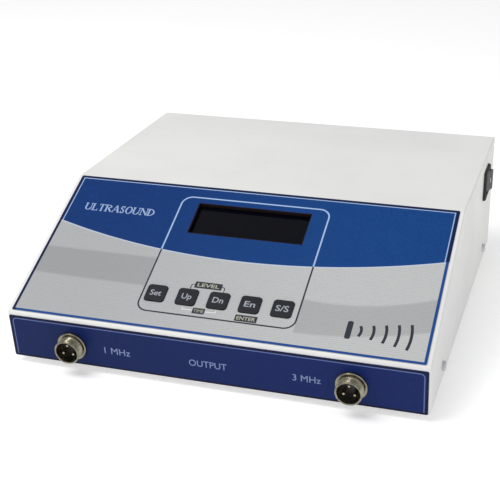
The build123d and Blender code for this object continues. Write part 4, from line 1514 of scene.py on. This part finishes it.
@dataclass
class OutputSocket(Assembly):
    """Threaded three-pin output socket, finely modelled in place of its CAD nodes."""

    face: Face
    side: Side
    barrel: float = 8.0 * MM
    bore: float = 6.9 * MM
    proud: float = 8.8 * MM
    flange: float = 9.5 * MM
    flange_thick: float = 2.0 * MM
    tail: float = 7.5 * MM
    tail_end: float = -12.4 * MM
    insert_top: float = 1.6 * MM
    pin: float = 0.9 * MM
    pin_circle: float = 3.8 * MM
    pin_tip: float = 6.6 * MM
    pin_tail: float = -15.4 * MM

    def dress(self) -> None:
        """Build the shell, the insert and the pins, and plate the nut."""
        name = self.side.node
        self.coat(NICKEL, "nickel_plate", f"{name}_nut")
        middle = self.face.place_of(f"{name}_shell")
        spot = self.face.matrix @ Matrix.Translation((*middle, 0.0))
        self.build(f"{name}_shell", self.shell(spot), NICKEL, "nickel_plate")
        self.build(f"{name}_insert", self.insert(spot), PHENOLIC, "socket_insulator")
        self.build(f"{name}_pins", self.pins(spot), CONTACT, "contact_metal")

    def build(self, node: str, mesh: bmesh.types.BMesh, finish: Finish, slot: str) -> None:
        """Put a detailed mesh in place of a CAD node."""
        piece = add_piece(f"{node}_detail", finish_mesh(node, mesh), finish, ROOT)
        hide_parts(node)

    def shell(self, spot: Matrix) -> bmesh.types.BMesh:
        """Barrel with its thread, chamfers, flange and tail."""
        made = bmesh.new()
        chamfer, lip = 0.5 * MM, 0.35 * MM
        base = self.flange_thick
        neck, seat, run = self.barrel - 0.3 * MM, base + 0.5 * MM, base + 0.8 * MM
        outline = (
            (self.tail, self.tail_end),
            (self.tail, 0.0),
            (self.flange, 0.0),
            (self.flange, base - chamfer),
            (self.flange - chamfer, base),
            (neck, base),
            (neck, seat),
            (self.barrel, run),
            (self.barrel, self.proud - chamfer),
            (self.barrel - chamfer, self.proud),
            (self.bore + lip, self.proud),
            (self.bore, self.proud - lip),
            (self.bore, self.tail_end),
        )
        thread = Thread(run, self.proud - chamfer)
        Turned(outline, thread).build(made, spot)
        return made

    def insert(self, spot: Matrix) -> bmesh.types.BMesh:
        """Moulded disc with a rim, a boss round each pin and a key rib."""
        made = bmesh.new()
        rim, step = self.bore - 1.1 * MM, 0.5 * MM
        edge = self.bore - 0.02 * MM
        outline = (
            (0.0, self.tail_end),
            (edge, self.tail_end),
            (edge, self.insert_top),
            (rim, self.insert_top),
            (rim - 0.2 * MM, self.insert_top - step),
            (0.0, self.insert_top - step),
        )
        Turned(outline).build(made, spot)
        radius, round_off = self.pin + 0.55 * MM, 0.15 * MM
        base, top = self.insert_top - 2 * step, self.insert_top - 0.05 * MM
        boss = ((0.0, base), (radius, base), (radius, top - round_off), (radius - round_off, top), (0.0, top))
        for place in self.pin_places(spot):
            Turned(boss, steps=32).build(made, place)
        rib_height = (self.proud + self.insert_top) / 2 - 1.0 * MM
        rib = spot @ Matrix.Translation((0.0, self.bore - 0.55 * MM, rib_height))
        size = Matrix.Diagonal((2.2 * MM, 1.0 * MM, self.proud - self.insert_top - 1.4 * MM, 1.0))
        cube = bmesh.ops.create_cube(made, size=1.0, matrix=rib @ size)
        edges = {edge for vertex in cube["verts"] for edge in vertex.link_edges}
        bmesh.ops.bevel(made, geom=list(edges), offset=0.2 * MM, segments=2, affect="EDGES")
        return made

    def pins(self, spot: Matrix) -> bmesh.types.BMesh:
        """Three contact pins with domed tips."""
        made = bmesh.new()
        dome = 0.6 * self.pin
        middle = (self.pin - dome, self.pin_tip - dome)
        outline = [(0.0, self.pin_tail), (self.pin, self.pin_tail)]
        outline += [around(middle, (dome, dome), 15 * step) for step in range(7)]
        outline.append((0.0, self.pin_tip))
        for place in self.pin_places(spot):
            Turned(outline, steps=32).build(made, place)
        return made

    def pin_places(self, spot: Matrix) -> Iterable[Matrix]:
        """Where each pin stands: one above and two below."""
        for angle in (90, 210, 330):
            place = around((0.0, 0.0), (self.pin_circle, self.pin_circle), angle)
            yield spot @ Matrix.Translation((*place, 0.0))


@dataclass
class Keypad(Assembly):
    """Five key caps with printed legends, on their switches and board."""

    face: Face
    legend_height: float = 4.3 * MM

    def dress(self) -> None:
        """Mould the caps and print each legend on its own cap."""
        self.coat(KEY_SKIN, "key_plastic", *(f"key_{name}" for name in KEYS))
        self.coat(MOULDING, "black_moulding", "tact_switches")
        self.coat(BOARD, "board_laminate", "keypad_board")
        legends = {
            "set": ("Set", 7.2 * MM, 0.0),
            "up": ("Up", 6.4 * MM, 1.1 * MM),
            "down": ("Dn", 6.8 * MM, 0.0),
            "enter": ("En", 6.9 * MM, 0.0),
            "start_stop": ("S/S", 8.0 * MM, 0.3 * MM),
        }
        for name, (text, width, tail) in legends.items():
            self.print_legend(name, text, width, tail)

    def print_legend(self, key: str, text: str, width: float, tail: float) -> None:
        """Print one legend.

        Args:
            key: Name of the key.
            text: The legend.
            width: Its width.
            tail: How far it reaches below its base line.
        """
        spots = self.face.spots(self.frame["nodes"][f"key_{key}"])
        top = max(spot.z for spot in spots)
        flat = [spot.y for spot in spots if spot.z > top - TOP_SKIN]
        middle = (self.face.place_of(f"key_{key}")[0], sum(flat) / len(flat) - tail / 2)
        art = Artwork(self.face, top).words(text, middle, self.legend_height + tail, width, 0.015)
        art.done(f"legend_{key}", InkFinish("legend_ink", self.face, Ink.LEGEND), f"key_{key}")


@dataclass
class DisplayUnit(Assembly):
    """Character display behind its smoked window."""

    face: Face
    trim: float = 0.45 * MM
    trim_depth: float = 1.5 * MM
    gasket_rim: float = 2.5 * MM
    extra_rise: float = 0.8 * MM
    slack: float = 0.04 * MM
    corner: float = 0.3 * MM

    def line_opening(self) -> None:
        """Line the cut edge of the opening with the gasket's dark lip."""
        spots = self.face.spots(self.frame["nodes"]["display_gasket"])
        sides = ([spot.x for spot in spots], [spot.y for spot in spots])
        middle = tuple(sum(side) / len(side) for side in sides)
        inset = 2 * self.gasket_rim + self.trim + self.slack
        width, height = (max(side) - min(side) - inset for side in sides)
        lip = Artwork(self.face, -self.trim_depth, self.trim_depth + INK_RISE)
        lip.ring(middle, width, height + self.extra_rise, self.corner, self.trim)
        piece = lip.done("display_lip", FOAM)

    def dress(self) -> None:
        """Dress the window and everything behind it."""
        self.line_opening()
        self.coat(SmokedWindow(), "smoked_window", "display_window")
        self.coat(FOAM, "foam_gasket", "display_gasket")
        self.coat(BLACK_STEEL, "black_steel", "lcd_bezel")
        self.coat(CELL_GLASS, "display_glass", "lcd_glass")
        self.coat(LIGHT_GUIDE, "light_guide", "lcd_backlight")
        self.coat(BOARD, "board_laminate", "lcd_board")
        self.coat(ZINC, "zinc_steel", "panel_pillars", "panel_screws")


@dataclass
class RockerSwitch(Assembly):
    """Mains rocker switch with its on and off marks."""

    mark_reach: float = 4.9 * MM
    mark_size: float = 3.4 * MM
    mark_weight: float = 0.6 * MM
    mark_steps: int = 6
    clearance: float = 5.0 * MM

    def dress(self) -> None:
        """Mould the switch and print the marks on the rocker."""
        self.coat(MOULDING, "black_moulding", "switch_body")
        self.coat(ROCKER_SKIN, "rocker_plastic", "switch_rocker")
        self.coat(CONTACT, "contact_metal", "switch_terminals")
        low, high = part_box("switch_rocker")
        origin = Vector((high.x + self.clearance, (low.y + high.y) / 2, (low.z + high.z) / 2))
        face = Face(origin, Vector((0, 0, 1)), Vector((1, 0, 0)))
        marks = Artwork(face)
        half = self.mark_size / 2
        steps = [half - self.mark_size * i / self.mark_steps for i in range(self.mark_steps + 1)]
        marks.line([(self.mark_reach, step) for step in steps], self.mark_weight)
        marks.bow((-self.mark_reach, 0.0), (half, half), (self.mark_weight,) * 2, 0, 360)
        self.drape(marks, self.frame["nodes"]["switch_rocker"])
        marks.done("rocker_marks", InkFinish("rocker_mark_ink", face, Ink.WHITE), "rocker")

    def drape(self, art: Artwork, node: bpy.types.Object) -> None:
        """Lay artwork down on a CAD node's surface.

        Args:
            art: Artwork that floats outside the surface.
            node: The node.
        """
        mesh = node.data
        faces = [tuple(face.vertices) for face in mesh.polygons]
        surface = BVHTree.FromPolygons([vertex.co for vertex in mesh.vertices], faces)
        matrix = art.face.matrix
        back = matrix.inverted()
        for vertex in art.mesh.verts:
            height = vertex.co.z
            hit = surface.ray_cast(matrix @ vertex.co, -art.face.out)[0]
            if hit is not None:
                vertex.co.z = (back @ hit).z + height


@dataclass
class MainsInlet(Assembly):
    """Appliance inlet with its fuse drawer."""

    def dress(self) -> None:
        """Mould the inlet and plate its metal."""
        self.coat(MOULDING, "black_moulding", "inlet_body", "fuse_drawer")
        self.coat(CONTACT, "contact_metal", "inlet_pins")
        self.coat(ZINC, "zinc_steel", "inlet_screws")
        self.coat(FUSE_GLASS, "fuse_glass", "mains_fuse")


@dataclass
class Electronics(Assembly):
    """Transformer, main board and wiring inside the housing."""

    def dress(self) -> None:
        """Dress every inner piece."""
        self.coat(CORE, "core_steel", "transformer_core")
        self.coat(TAPE, "winding_tape", "transformer_winding")
        fixings = ("transformer_frame", "transformer_screws", "board_standoffs", "board_screws")
        self.coat(ZINC, "zinc_steel", *fixings)
        self.coat(BOARD, "board_laminate", "main_board")
        self.coat(MOULDING, "black_moulding", "driver_chips", "output_coils", "power_transistors", "buzzer")
        self.coat(SLEEVE, "capacitor_sleeve", "filter_capacitors")
        self.coat(ALUMINIUM, "sink_aluminium", "heat_sink")
        self.coat(SHEATH, "lead_sheath", "ribbon_cable", "socket_leads", "mains_leads")


@dataclass(frozen=True)
class Lamp:
    """A soft square lamp that faces the object.

    Attributes:
        name: Name of the lamp.
        place: Where it hangs.
        size: Its side.
        power: Its power in watts.
    """

    name: str
    place: tuple[float, float, float]
    size: float
    power: float

    def hang(self) -> None:
        """Put the lamp in the scene."""
        place = Vector(self.place)
        data = bpy.data.lights.new(self.name, "AREA")
        data.shape = "SQUARE"
        data.size = self.size
        data.energy = self.power
        lamp = bpy.data.objects.new(self.name, data)
        lamp.location = place
        lamp.rotation_mode = "QUATERNION"
        lamp.rotation_quaternion = (-place).to_track_quat("-Z", "Y")
        bpy.context.scene.collection.objects.link(lamp)


LAMPS = (Lamp("key", (-0.6, -0.55, 1.5), 1.0, 15.5), Lamp("fill", (1.0, -1.1, 0.7), 0.8, 0.9))


@dataclass
class Studio:
    """Pale floor, soft light and the camera.

    Attributes:
        target: Point the camera looks at.
        azimuth: Turn of the camera round the object, in degrees.
        elevation: Height of the camera, in degrees.
        roll: Roll of the camera, in degrees.
        distance: Distance from the target.
        lens: Focal length in millimetres.
        sensor: Width of the sensor in millimetres.
        floor_reach: How far the floor goes each way.
        floor_glow: Strength of the floor's own light.
        surround: Strength of the light all round.
    """

    target: Vector = field(default_factory=lambda: Vector((26.211, -129.2, 93.972)) * MM)
    azimuth: float = 18.284
    elevation: float = 23.009
    roll: float = -1.039
    distance: float = 624.479 * MM
    lens: float = 80.547
    sensor: float = 36.0
    floor_reach: float = 40.0
    floor_glow: float = 0.28
    surround: float = 0.53

    def build(self) -> None:
        """Set up the whole studio."""
        bpy.context.scene.view_settings.view_transform = "Standard"
        self.add_floor()
        self.add_world()
        for lamp in LAMPS:
            lamp.hang()
        self.add_camera()

    def add_floor(self) -> None:
        """Lay the floor with soft marks in its paint."""
        mesh = bpy.data.meshes.new("floor")
        reach = self.floor_reach
        corners = [(-reach, -reach, 0), (reach, -reach, 0), (reach, reach, 0), (-reach, reach, 0)]
        mesh.from_pydata(corners, [], [(0, 1, 2, 3)])
        floor = bpy.data.objects.new("floor", mesh)
        bpy.context.scene.collection.objects.link(floor)
        graph = Graph("floor_paint").set(Roughness=0.9)
        graph.set(Emission_Color=(1.0, 1.0, 1.0), Emission_Strength=self.floor_glow)
        tone = graph.noise(0.6, 3.0)
        graph.to("Base Color", graph.mix(tone, srgb(250, 250, 250), srgb(246, 246, 247)))
        mesh.materials.append(graph.material)

    def add_world(self) -> None:
        """Give the studio its even pale surround."""
        world = bpy.data.worlds.new("studio")
        world.use_nodes = True
        background = world.node_tree.nodes["Background"]
        background.inputs["Color"].default_value = (1.0, 1.0, 1.0, 1.0)
        background.inputs["Strength"].default_value = self.surround
        bpy.context.scene.world = world

    def add_camera(self) -> None:
        """Place the camera."""
        turn, rise, roll = (math.radians(a) for a in (self.azimuth, self.elevation, self.roll))
        flat = Vector((math.sin(turn), -math.cos(turn), 0.0))
        back = flat * math.cos(rise) + Vector((0.0, 0.0, math.sin(rise)))
        right = Vector((math.cos(turn), math.sin(turn), 0.0))
        up = back.cross(right)
        right_rolled = math.cos(roll) * right + math.sin(roll) * up
        up_rolled = math.cos(roll) * up - math.sin(roll) * right
        data = bpy.data.cameras.new("camera")
        data.lens = self.lens
        data.sensor_width = self.sensor
        camera = bpy.data.objects.new("camera", data)
        axes = Matrix((right_rolled, up_rolled, back)).transposed().to_4x4()
        camera.matrix_world = Matrix.Translation(self.target + back * self.distance) @ axes
        bpy.context.scene.collection.objects.link(camera)
        bpy.context.scene.camera = camera


def main() -> None:
    """Load the frame, build and dress every sub-assembly, and set up the studio."""
    logging.basicConfig(level=logging.INFO, format="%(name)s: %(message)s")
    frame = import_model()
    record = frame["record"]
    console, apron = Face.console(record), Face.apron(record)
    groups: list[Assembly] = [
        Housing(frame),
        ConsolePrint(frame, console),
        ApronPrint(frame, apron),
        *(OutputSocket(frame, apron, side) for side in Side),
        Keypad(frame, console),
        DisplayUnit(frame, console),
        RockerSwitch(frame),
        MainsInlet(frame),
        Electronics(frame),
    ]
    for group in groups:
        LOG.info("building %s", type(group).__name__)
        group.dress()
    Studio().build()


if __name__ == "__main__":
    main()
